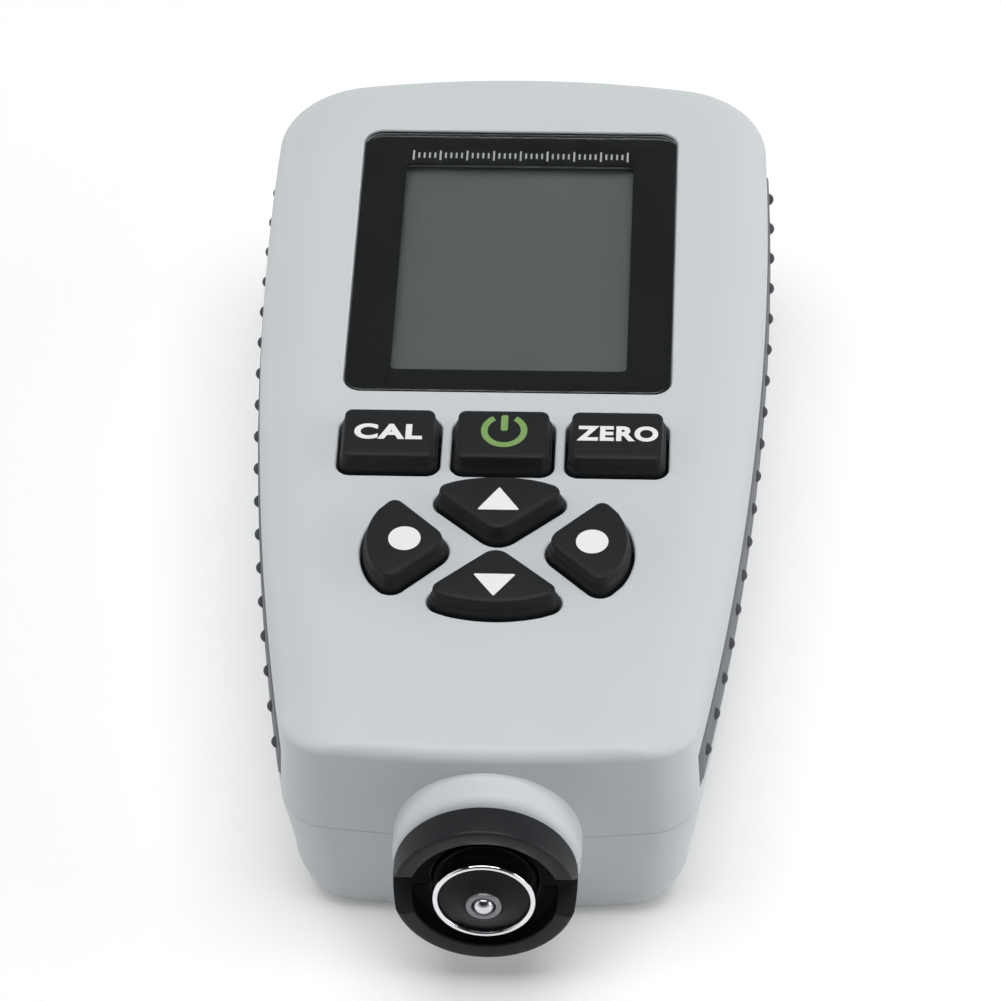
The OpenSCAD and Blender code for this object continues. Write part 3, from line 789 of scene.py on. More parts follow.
@dataclass(frozen=True)
class Form:
    """Sizes of the housing and the curves that follow from them."""

    width: float = 60.9
    length: float = 113.0
    end_height: float = 27.3
    slope: float = 3.0
    side_radius: float = 460.0
    wide_at: float = 87.5
    far_radius: float = 125.0
    near_radius: float = 150.0
    far_corner: float = 10.0
    near_corner: float = 6.0
    wall: float = 2.4
    split: float = 13.1
    shoulder_width: float = 7.0
    shoulder_height: float = 4.5
    near_round: float = 1.7
    near_height: float = 1.6
    lip_blend: float = 14.0
    far_round: float = 6.0
    front_draft: float = 0.4
    rear_draft: float = 1.2
    back_round: float = 7.0
    back_inset: float = 4.5
    back_end_inset: float = 2.6
    back_corner: float = 3.0
    window_at: float = 78.0
    deck_thickness: float = 2.4
    nose_radius: float = 10.4
    nose_length: float = 4.5
    nose_round: float = 2.0
    collar_length: float = 4.2
    sleeve_out: float = 0.8
    tip_out: float = 1.3
    grip_top: float = 6.9
    grip_height: float = 4.9
    grip_thickness: float = 1.3
    grip_near_run: float = 2.3
    grip_far_run: float = 2.2
    grip_hidden: float = 3.0

    @property
    def y_far(self) -> float:
        """Place of the display end."""
        return (self.length + self.nose_length + self.collar_length
                + self.sleeve_out + self.tip_out) / 2

    @property
    def y_end(self) -> float:
        """Place of the end face."""
        return self.y_far - self.length

    @property
    def y_window(self) -> float:
        """Place of the window's middle."""
        return self.y_end + self.window_at

    @property
    def probe_z(self) -> float:
        """Height of the probe axis."""
        return self.end_height - self.split

    @property
    def grip_near(self) -> float:
        """Place of the grips' end near the probe."""
        return self.y_end + self.near_corner - self.grip_near_run

    @property
    def grip_tuck(self) -> float:
        """Place where the grips run under the housing's corner."""
        return self.grip_near + self.grip_hidden

    @property
    def grip_far(self) -> float:
        """Place of the grips' end near the display."""
        return self.y_far - self.far_corner - self.grip_far_run

    @property
    def side_centre(self) -> Flat:
        """Centre of the right-hand side's arc."""
        return (self.width / 2 - self.side_radius, self.y_end + self.wide_at)

    def deck_z(self, y: float) -> float:
        """Height of the deck plane."""
        return self.end_height + (y - self.y_end) * math.tan(math.radians(self.slope))

    def deck_matrix(self) -> Matrix:
        """Matrix from the deck's own frame, its origin at the window's middle, in metres."""
        middle = Vector((0.0, self.y_window, self.deck_z(self.y_window))) * MM
        return Matrix.Translation(middle) @ Matrix.Rotation(math.radians(self.slope), 4, "X")

    def on_deck(self, points: Iterable[Flat], up: float) -> Loop:
        """Loop in the deck's frame at a height above it.

        Args:
            points: Places in the deck's plane.
            up: Height above it.

        Returns:
            The loop in the gauge's frame.
        """
        tilt = math.radians(self.slope)
        base = self.deck_z(self.y_window)
        return [(x, self.y_window + y * math.cos(tilt) - up * math.sin(tilt),
                 base + y * math.sin(tilt) + up * math.cos(tilt)) for x, y in points]

    def drafted(self, depth: float) -> float:
        """Inset of the front shell's sides at a depth below the deck."""
        return self.front_draft * (self.split - depth) / (self.split - self.shoulder_height)

    def meet(self, radius: float, centre: Flat, other: float, turn: int) -> Flat:
        """Crossing of a circle round the side's centre and one round another centre.

        Args:
            radius: Radius round the side's centre.
            centre: The other centre.
            other: Radius round it.
            turn: Which of the two crossings, 1 or -1.

        Returns:
            The crossing.
        """
        first = Vector(self.side_centre)
        reach = Vector(centre) - first
        far = reach.length
        along = (radius * radius - other * other + far * far) / (2 * far)
        unit = reach / far
        across = turn * math.sqrt(radius * radius - along * along) * Vector((-unit.y, unit.x))
        spot = first + unit * along + across
        return (spot.x, spot.y)

    def plan(self, side: float, near: float, far: float, corner: float = 0.0) -> Curve:
        """Plan outline, inset on the sides, at the probe end and at the display end.

        Args:
            side: Inset of the sides.
            near: Inset of the probe end.
            far: Inset of the display end.
            corner: How much smaller the corner radii are.

        Returns:
            Counter-clockwise points from the middle of the probe end.
        """
        centre = self.side_centre
        radius = self.side_radius - side
        rn, rf = self.near_corner - corner, self.far_corner - corner
        cn = (0.0, self.y_end + near + self.near_radius)
        cf = (0.0, self.y_far - far - self.far_radius)
        pn = self.meet(radius - rn, cn, self.near_radius - rn, -1)
        pf = self.meet(radius - rf, cf, self.far_radius - rf, 1)
        half = arc(cn, self.near_radius, -90, heading(cn, pn), 8)[:-1]
        half += arc(pn, rn, heading(cn, pn), heading(centre, pn), 16)[:-1]
        half += arc(centre, radius, heading(centre, pn), heading(centre, pf), 150)[:-1]
        half += arc(pf, rf, heading(centre, pf), heading(cf, pf), 18)[:-1]
        half += arc(cf, self.far_radius, heading(cf, pf), 90, 10)
        return half + [(-x, y) for x, y in half[-2:0:-1]]

    def corner_fall(self, y: float) -> float:
        """How far the corner at the probe end lies inside the side's arc.

        Args:
            y: Place along the side.

        Returns:
            The distance, 0 past the corner.
        """
        (cx, cy), r = self.side_centre, self.near_corner
        near = (0.0, self.y_end + self.near_radius)
        px, py = self.meet(self.side_radius - r, near, self.near_radius - r, -1)
        if y > cy + (py - cy) * self.side_radius / (self.side_radius - r):
            return 0.0
        side = cx + math.sqrt(self.side_radius ** 2 - (y - cy) ** 2)
        return max(0.0, side - px - math.sqrt(max(0.0, r ** 2 - (y - py) ** 2)))

    def deck_ring(self, depth: float, side: float, near: float, far: float,
                  corner: float = 0.0) -> Loop:
        """Ring of the housing at a depth below the deck."""
        return [(x, y, self.deck_z(y) - depth) for x, y in self.plan(side, near, far, corner)]

    def lip_ring(self, share: float, side: float, near: float, far: float) -> Loop:
        """Ring of the deck's rounding, which is lower at the probe end.

        Args:
            share: Part of the rounding's height below the deck.
            side: Inset of the sides.
            near: Inset of the probe end.
            far: Inset of the display end.

        Returns:
            The ring.
        """
        ring: Loop = []
        crest = self.deck_z(self.y_far - self.far_round)
        gain = self.shoulder_height - self.near_height
        for x, y in self.plan(side, near, far):
            grow = min(1.0, max(0.0, (y - self.y_end) / self.lip_blend))
            height = self.near_height + gain * grow * grow * (3 - 2 * grow)
            ring.append((x, y, min(crest, self.deck_z(y) - share * height)))
        return ring

    def rear_rings(self, thickness: float, steps: int = 12) -> list[Loop]:
        """Rings of the rear shell from the back up to its straight wall, moved inward.

        Args:
            thickness: How far the surface is moved inward.
            steps: Spans of the rounding.

        Returns:
            The rings, lowest first.
        """
        rings: list[Loop] = []
        for s, c in reversed(quarter(steps)):
            share, rise = 1 - c, 1 - s
            end = thickness + (self.back_end_inset - thickness) * share + self.rear_draft / 2
            side = self.rear_draft + thickness + (self.back_inset - thickness) * share
            corner = thickness + (self.back_corner - thickness) * share
            z = thickness + (self.back_round - thickness) * rise
            rings.append([(x, y, z) for x, y in self.plan(side, end, end, corner)])
        return rings

    def around_probe(self, profile: Sequence[Flat], start: float = 0.0, end: float = 360.0,
                     steps: int = 96) -> list[Loop]:
        """Profile of radius and reach, turned about the probe axis.

        Args:
            profile: Radius and distance outward from the end face.
            start: First angle in degrees.
            end: Last angle in degrees.
            steps: Spans of the turn.

        Returns:
            One loop of profile points for each angle.
        """
        turns = arc((0.0, 0.0), 1.0, start, end, steps)
        if abs(end - start) >= 360.0:
            turns.pop()
        return [[(r * c, self.y_end - u, self.probe_z + r * s) for r, u in profile]
                for c, s in turns]


@dataclass(frozen=True)
class KeyPlan:
    """Places and sizes of the keys in the deck's frame."""

    row: float = -31.6
    pitch: float = 13.05
    size: Spot = (11.2, 8.4, 1.3)
    arrows: float = -48.0
    tall: tuple[float, ...] = (0.4, 8.5, 8.0, 10.1)
    wide: tuple[float, ...] = (4.7, 7.0, 11.8, 15.1)
    inner_round: float = 2.4
    outer_round: float = 1.5
    crown_share: float = 0.6

    def fan(self, inner: float, x: float, y: float, crown: float, turn: float) -> Curve:
        """Outline of a fan-shaped key turned about the middle of the arrow keys.

        Args:
            inner: Place of its inner corner.
            x: Half its width.
            y: Place of its outer corners.
            crown: Place of its outer edge's middle.
            turn: Turn in degrees.

        Returns:
            The outline.
        """
        sag = crown - y
        radius = (x * x + sag * sag) / (2 * sag)
        spread = math.degrees(math.asin(x / radius)) * self.crown_share
        crest = arc((0.0, crown - radius), radius, 90 - spread, 90 + spread, 18)
        corners = [(0.0, inner, self.inner_round), (x, y, self.outer_round)]
        corners += [(px, py, 0.0) for px, py in crest] + [(-x, y, self.outer_round)]
        c, s = math.cos(math.radians(turn)), math.sin(math.radians(turn))
        return [(px * c - py * s, px * s + py * c + self.arrows) for px, py in outline(corners)]

    def outlines(self) -> dict[str, Curve]:
        """Foot outline of each key.

        Returns:
            Outlines by key name.
        """
        upper = {name: rounded_box(*self.size, (i * self.pitch, self.row))
                 for name, i in (("cal", -1), ("power", 0), ("zero", 1))}
        return {**upper, "up": self.fan(*self.tall, 0), "down": self.fan(*self.tall, 180),
                "left": self.fan(*self.wide, 90), "right": self.fan(*self.wide, -90)}


@dataclass
class Housing:
    """Front and rear shell with the nose, the deck's openings and the back's fittings."""

    form: Form
    palette: Palette
    key_gap: float = 0.35
    edge: float = 0.28
    line: float = 0.10
    line_shares: tuple[float, ...] = (0.0, 0.35, 0.7, 1.0)
    seam: float = 1.2
    grip_gap: float = 0.1
    grip_above: float = 5.6
    window: Spot = (38.2, 45.0, 2.2)
    pocket: float = 1.3
    view: Spot = (29.0, 36.8, 1.0)
    view_middle: Flat = (0.0, -0.6)
    inner_share: float = 0.7
    inner_step: float = 1.0
    guide_bore: float = 8.15
    bore_reach: float = 8.0
    nose_root: float = -1.8
    half_gap: float = 0.5
    screws: tuple[Flat, Flat] = ((22.5, 41.9), (16.6, -42.6))
    well_radius: float = 2.5
    well_depth: float = 4.0
    well_foot: float = 0.6
    well_wall: float = 1.2
    screw_seat: float = 4.4
    screw_hole: float = 1.4
    boss_gap: float = 0.3
    tray_from_end: float = 7.1
    tray_length: float = 48.5
    tray_wall: float = 1.5
    tray_top: float = 13.9
    tray_side: float = 1.6
    rib_half: float = 1.0
    rib_short: float = 4.0
    rib_depth: float = 5.0
    rib_bite: float = 0.4
    door_half: float = 14.5
    door_start: float = 0.6
    door_step: float = 1.0
    door_lip: float = 9.0
    door_thickness: float = 2.0
    gap: float = 0.3
    grooves: int = 5
    groove_first: float = 5.55
    groove_pitch: float = 2.2
    groove_size: Spot = (14.0, 1.1, 0.5)

    @property
    def plastic(self) -> Material:
        """Finish of both shells and the door."""
        return self.palette["shell_plastic"]

    @property
    def tray(self) -> tuple[float, float]:
        """Ends of the battery compartment along Y."""
        back = self.form.y_far - self.tray_from_end
        return back - self.tray_length, back

    @property
    def screw_spots(self) -> Curve:
        """Places of the four housing screws."""
        return [(side * x, y) for x, y in self.screws for side in (-1, 1)]

    def sunk(self, ring: Loop, depth: float) -> Loop:
        """Ring moved inward along the stretch that the grips fill.

        Args:
            ring: Ring of the front shell.
            depth: How far it moves.

        Returns:
            The moved ring.
        """
        low, high = self.form.grip_tuck, self.form.grip_far + self.grip_gap
        side = self.form.width / 4
        return [(x - math.copysign(depth, x) if low < y < high and abs(x) > side else x, y, z)
                for x, y, z in ring]

    def front_rings(self) -> list[Loop]:
        """Rings of the front shell from the rim over the sides to the edge of the deck.

        Returns:
            The rings in order.
        """
        f = self.form
        rings = [f.deck_ring(f.split, *[self.seam] * 4)]
        for turn in (math.radians(90 * share) for share in self.line_shares):
            inset = self.line * (1 - math.sin(turn))
            rings.append(f.deck_ring(f.split - self.line * (1 - math.cos(turn)), *[inset] * 3))
        low, top = f.grip_top + f.grip_height + self.grip_gap, f.grip_top - self.grip_gap
        for level in (low, top):
            plain = f.deck_ring(level, f.drafted(level), 0, 0)
            pair = [plain, self.sunk(plain, f.grip_thickness + self.grip_gap)]
            rings += pair if level == low else pair[::-1]
        rings.append(f.deck_ring(self.grip_above, f.drafted(self.grip_above), 0, 0))
        for s, c in quarter(16):
            share = 1 - c
            side = f.front_draft + (f.shoulder_width - f.front_draft) * share
            rings.append(f.lip_ring(1 - s, side, f.near_round * share, f.far_round * share))
        return rings

    def hole(self, draft: Draft, points: Curve, inner: Curve | None = None) -> tuple[Verts, Verts]:
        """Wall of one opening in the deck, with a rounded edge.

        Args:
            draft: Mesh under construction.
            points: Outline of the opening.
            inner: Outline of the smaller opening below the window's pocket, if any.

        Returns:
            The loops in the deck's face and in its underside.
        """
        f = self.form
        under = -f.deck_thickness * math.cos(math.radians(f.slope))
        loops = [f.on_deck(moved_in(points, -self.edge * (1 - s)), -self.edge * (1 - c))
                 for s, c in quarter(4)]
        if inner:
            loops += [f.on_deck(points, -self.pocket), f.on_deck(inner, -self.pocket)]
        loops.append(f.on_deck(inner or points, under))
        made = draft.tube(loops)
        return made[0], made[-1]

    def nose(self, draft: Draft, start: float) -> None:
        """Half of the nose that carries the collar, with a soft front edge.

        Args:
            draft: Mesh under construction.
            start: Angle where the half starts, in degrees.
        """
        f = self.form
        r, length, soft, bore = f.nose_radius, f.nose_length, f.nose_round, self.guide_bore
        profile = [(bore, self.nose_root), (bore, length - 0.2), (bore + 0.15, length)]
        profile += [(r - soft + soft * s, length - soft + soft * c) for s, c in quarter(10)]
        profile += [(r, self.nose_root)]
        draft.solid(f.around_probe(profile, start + self.half_gap, start + 180 - self.half_gap, 64))

    def probe_bore(self) -> Piece:
        """Cutting cylinder of the bore that takes the probe's guide.

        Returns:
            The cylinder.
        """
        f, reach = self.form, self.bore_reach
        loops = [[(x, y, f.probe_z + z) for x, z in circle(self.guide_bore, steps=72)]
                 for y in (f.y_end - reach, f.y_end + reach)]
        return solid_piece("bore_tool", loops, self.plastic)

    def build_front(self) -> Piece:
        """Makes the front shell as one closed mesh with its half of the nose.

        Returns:
            The shell.
        """
        f, name, wall = self.form, "front_shell_form", self.form.wall
        share, step = self.inner_share, self.inner_step
        draft = Draft()
        outer = draft.tube(self.front_rings())
        inside = draft.tube([
            f.deck_ring(f.split, *[wall] * 4),
            f.deck_ring(f.shoulder_height + step, wall + f.front_draft, wall, wall, wall),
            f.deck_ring(f.deck_thickness, wall + f.shoulder_width * share, wall + step,
                        wall + f.far_round * share, wall)])
        draft.bridge(inside[0], outer[0])
        pairs = [self.hole(draft, moved_in(points, -self.key_gap))
                 for points in KeyPlan().outlines().values()]
        view = rounded_box(*self.view, self.view_middle)
        pairs.append(self.hole(draft, rounded_box(*self.window), view))
        tops, bottoms = zip((outer[-1], inside[-1]), *pairs)
        tilt = math.radians(f.slope)
        up = Vector((0.0, -math.sin(tilt), math.cos(tilt)))
        draft.plate(tops, up)
        draft.plate(bottoms, -up)
        shell = draft.finish(name, self.plastic)
        carve(shell, self.probe_bore())
        whole = reopened(shell)
        self.nose(whole, 0)
        return even_out(whole.finish(name, self.plastic))

    def boss(self, draft: Draft, x: float, y: float) -> None:
        """Adds the wall of one screw's well with its conical foot and its seat.

        Args:
            draft: Mesh under construction.
            x: Place of the screw across.
            y: Place of the screw along.
        """
        top = self.form.deck_z(y) - self.form.split - self.boss_gap
        well, foot, hole, seat = self.well_radius, self.well_foot, self.screw_hole, self.screw_seat
        wall = well + self.well_wall
        profile = [(well, foot), (well + 0.15, foot), (wall, self.well_depth), (wall, top),
                   (hole, top), (hole, seat), (well, seat)]
        draft.ring([[(x + r * c, y + r * s, z) for r, z in profile] for c, s in circle(1.0)])

    def door_slot(self, gap: float) -> list[Piece]:
        """Cutting blocks of the battery door's stepped slot.

        Args:
            gap: How much wider than the door they are.

        Returns:
            The narrow and the wide block.
        """
        near = self.tray[0] + self.door_start - gap
        half, far, step = self.door_half + gap, self.form.y_far + 20, self.door_step
        narrow = block((-half, near, -1.0), (half, far, step + 0.05))
        wide = block((-half - 1, near, step - gap), (half + 1, far, self.door_lip + gap))
        return [narrow.finish("slot_narrow", self.plastic), wide.finish("slot_wide", self.plastic)]

    def build_rear(self) -> Piece:
        """Makes the rear shell with the door's slot, the screw wells and the battery tray.

        Returns:
            The shell.
        """
        f, name = self.form, "rear_shell_form"
        rings = f.rear_rings(0.0)
        for turn in (math.radians(90 * share) for share in self.line_shares):
            inset = self.line * (1 - math.cos(turn))
            rings.append(f.deck_ring(f.split + self.line * (1 - math.sin(turn)), *[inset] * 3))
        rings.append(f.deck_ring(f.split, *[f.wall] * 4))
        rings += f.rear_rings(f.wall, 6)[::-1]
        shell = solid_piece(name, rings, self.plastic)
        wells = Draft()
        for spot in self.screw_spots:
            wells.prism(circle(self.well_radius, spot), -1.0, self.well_depth)
        tools = self.door_slot(self.gap)
        tools += [wells.finish("well_tools", self.plastic), self.probe_bore()]
        for tool in tools:
            carve(shell, tool)
        soften(shell, 0.18, 50.0)
        whole = reopened(shell)
        for x, y in self.screw_spots:
            self.boss(whole, x, y)
        self.nose(whole, 180)
        self.add_tray(whole)
        return even_out(whole.finish(name, self.plastic))

    def add_tray(self, draft: Draft) -> None:
        """Adds the battery tray and the rib between the cells.

        Args:
            draft: Mesh under construction.
        """
        (front, back), wall, top = self.tray, self.tray_wall, self.tray_top
        low, half = self.door_thickness + self.gap, self.door_half + self.tray_side

        def loop(grow: float, z: float) -> Loop:
            """Rectangle round the compartment."""
            x, a, b = half + grow, front - grow, back + grow
            return [(-x, a, z), (x, a, z), (x, b, z), (-x, b, z)]

        draft.solid([loop(0, top), loop(0, low), loop(wall, low), loop(wall, top + wall)])
        x, a, b = self.rib_half, front + self.rib_short, back - self.rib_short
        draft.prism([(-x, a), (x, a), (x, b), (-x, b)], top - self.rib_depth, top + self.rib_bite)

    def build_door(self) -> Piece:
        """Makes the battery door with its rolled lip and thumb grooves.

        Returns:
            The door.
        """
        f, thick = self.form, self.door_thickness
        rings = f.rear_rings(0.0) + [f.deck_ring(f.split, 0, 0, 0)]
        door = solid_piece("battery_door_form", rings, self.plastic)
        narrow, wide = self.door_slot(0.0)
        carve(narrow, wide, "UNION")
        carve(door, narrow, "INTERSECT")
        inside = f.rear_rings(thick) + [f.deck_ring(f.split - 3, *[thick] * 4)]
        carve(door, solid_piece("door_inside", inside, self.plastic))
        first = self.tray[0] + self.door_start + self.groove_first
        for i in range(self.grooves):
            groove = Draft()
            middle = (0.0, first + self.groove_pitch * i)
            groove.prism(rounded_box(*self.groove_size, middle), -1.0, 0.5)
            carve(door, groove.finish("groove_tool", self.plastic))
        soften(door, 0.2, 50.0)
        smooth(door, 34.0)
        return even_out(door)

    def build_screws(self, copier: Copier) -> Piece:
        """Makes the four housing screws with cross-slotted pan heads.

        Args:
            copier: Maker of copies.

        Returns:
            All the screws in one object.
        """
        profile = [(0.6, 16.0), (1.25, 14.8), (1.25, 0.0), (2.2, 0.0), (2.3, -0.3), (2.25, -1.1),
                   (1.9, -1.6), (1.3, -1.8)]
        steel = self.palette["plain_steel"]
        loops = [[(x, y, z) for x, y in circle(r)] for r, z in profile]
        screw = solid_piece("screw_pattern", loops, steel)
        long, thin = 1.35, 0.28
        for x, y in ((long, thin), (thin, long)):
            carve(screw, block((-x, -y, -3.0), (x, y, -0.9)).finish("slot_tool", steel))
        spots = [(x, y, self.screw_seat) for x, y in self.screw_spots]
        return copier.row("housing_screws_form", spots, screw, steel)

    def build(self, copier: Copier) -> None:
        """Makes and places every piece of the housing.

        Args:
            copier: Maker of copies.
        """
        body = Body.HOUSING.value
        place(self.build_front(), body, "shell_plastic", "front_shell")
        place(self.build_rear(), body, "shell_plastic", "rear_shell")
        place(self.build_door(), Body.DOOR.value, "shell_plastic", "battery_door")
        place(self.build_screws(copier), body, "plain_steel", "housing_screws")


@dataclass
class Grips:
    """Rubber strips along both sides with their rows of bumps."""

    form: Form
    palette: Palette
    bumps: int = 19
    bump_radius: float = 0.75
    bump_sink: float = 0.21
    bump_first: float = 1.5
    bump_last: float = 1.1
    face: float = 0.2
    tuck: float = 0.85
    tuck_start: float = 0.5
    tuck_run: float = 0.6
    soft: float = 0.45
    sections: int = 120

    def spot(self, y: float, out: float, depth: float, side: int) -> Spot:
        """Point on a side of the gauge.

        Args:
            y: Place along the side.
            out: Distance outward from the front shell's side.
            depth: Depth below the deck.
            side: 1 for the right-hand side, -1 for the left-hand one.

        Returns:
            The point.
        """
        f = self.form
        cx, cy = f.side_centre
        turn = math.asin((y - cy) / f.side_radius)
        radius = f.side_radius + out - f.drafted(depth)
        py = cy + radius * math.sin(turn)
        return (side * (cx + radius * math.cos(turn)), py, f.deck_z(py) - depth)

    def sunk(self, y: float) -> float:
        """How far the face sinks to run under the corner at the probe end."""
        share = min(1.0, max(0.0, (self.form.grip_tuck + self.tuck_start - y) / self.tuck_run))
        return self.tuck * share * share * (3 - 2 * share) + self.form.corner_fall(y)

    def section(self, profile: Sequence[Flat], y: float, drop: float, side: int) -> Loop:
        """Section of a strip at a place along it.

        Args:
            profile: Distance outward and depth of each point.
            y: Place along the strip.
            drop: How far its rounded end lowers the face there.
            side: 1 for the right-hand strip, -1 for the left-hand one.

        Returns:
            The section's points.
        """
        low, back = self.sunk(y), -self.form.grip_thickness
        return [self.spot(y, out if out <= back else min(out, self.face - drop) - low, depth, side)
                for out, depth in profile]

    def strip(self, side: int) -> Piece:
        """Makes one strip.

        Args:
            side: 1 for the right-hand one, -1 for the left-hand one.

        Returns:
            The strip.
        """
        f, soft = self.form, self.soft
        low, top, back = f.grip_top + f.grip_height, f.grip_top, -f.grip_thickness
        flat = self.face - soft
        bend = quarter(6)
        profile = [(back, top)] + [(flat + soft * s, top + soft - soft * c) for s, c in bend]
        profile += [(flat + soft * c, low - soft + soft * s) for s, c in bend] + [(back, low)]
        ends = [(0.0, soft)] + [(soft - soft * math.cos(a), soft - soft * math.sin(a))
                                for a in map(math.radians, (25, 50, 70, 90))]
        span = (f.grip_far - f.grip_near) / self.sections
        stations = [(f.grip_near + along, drop) for along, drop in ends]
        stations += [(f.grip_near + span * i, 0.0) for i in range(1, self.sections)]
        stations += [(f.grip_far - along, drop) for along, drop in ends[::-1]]
        loops = [self.section(profile, y, drop, side) for y, drop in stations]
        name = "right_strip" if side > 0 else "left_strip"
        return solid_piece(name, loops, self.palette["grip_rubber"], 50.0)

    def bump(self) -> Piece:
        """Makes the pattern of one bump, a ball whose inner half sits in the strip.

        Returns:
            The bump.
        """
        draft = Draft()
        radius = self.bump_radius * MM
        bmesh.ops.create_uvsphere(draft.bm, u_segments=24, v_segments=14, radius=radius)
        # The bump takes the darker copy of the grip rubber, which paints shade on it.
        return draft.finish("bump_pattern", self.palette["bump_rubber"], 80.0)

    def build(self, copier: Copier) -> None:
        """Makes and places both grips.

        Args:
            copier: Maker of copies.
        """
        f = self.form
        first, last = f.grip_far - self.bump_first, f.grip_near + self.bump_last
        places = [first + (last - first) * i / (self.bumps - 1) for i in range(self.bumps)]
        depth, out = f.grip_top + f.grip_height / 2, self.face - self.bump_sink
        for side, node in ((1, "right_grip"), (-1, "left_grip")):
            place(self.strip(side), Body.HOUSING.value, "grip_rubber", node)
            spots = [self.spot(y, out - self.sunk(y), depth, side) for y in places]
            # The bumps get the darker rubber copy, painted shade.
            row = copier.row(f"{node}_bumps", spots, self.bump(), self.palette["bump_rubber"])
            place(row, Body.HOUSING.value, "grip_rubber", node)


@dataclass
class Display:
    """Acrylic window with the printed ticks that lie on the black frame under it."""

    form: Form
    palette: Palette
    size: Spot = (38.0, 44.8, 2.2)
    top: float = -0.1
    thickness: float = 0.94
    edge: float = 0.22
    back_edge: float = 0.05
    ticks: int = 41
    tick_pitch: float = 0.65
    tick_row: float = 18.6
    tick_depth: float = -1.08
    tick_stroke: Spot = (0.22, 1.7, 0.01)
    short_share: float = 0.55

    def build_window(self) -> Piece:
        """Makes the window as a plate with soft edges.

        Returns:
            The window.
        """
        points, low, on_deck = rounded_box(*self.size), self.top - self.thickness, self.form.on_deck
        loops = [on_deck(moved_in(points, self.back_edge), low),
                 on_deck(points, low + self.back_edge)]
        loops += [on_deck(moved_in(points, self.edge * (1 - c)), self.top - self.edge * (1 - s))
                  for s, c in quarter(5)]
        return solid_piece("window_plate", loops, self.palette["window_acrylic"], 40.0)

    def build_ticks(self) -> Piece:
        """Makes the plain row of ticks that heads the display.

        Returns:
            The ticks.
        """
        tree, keys = tick_tree()
        obj = add_object("heading_ticks", bpy.data.meshes.new("heading_ticks"))
        run_tree(obj, tree, {
            keys["Count"]: self.ticks, keys["Pitch"]: self.tick_pitch * MM,
            keys["Stroke"]: tuple(size * MM for size in self.tick_stroke),
            keys["Short Share"]: self.short_share, keys["Finish"]: self.palette["print_white"]})
        start = -self.tick_pitch * (self.ticks - 1) / 2
        shift = Vector((start, self.tick_row, self.tick_depth)) * MM
        obj.data.transform(self.form.deck_matrix() @ Matrix.Translation(shift))
        return obj

    def build(self) -> None:
        """Makes and places the window and its ticks."""
        place(self.build_window(), Body.HOUSING.value, "window_acrylic", "display_window")
        place(self.build_ticks(), Body.HOUSING.value, "gasket_black")


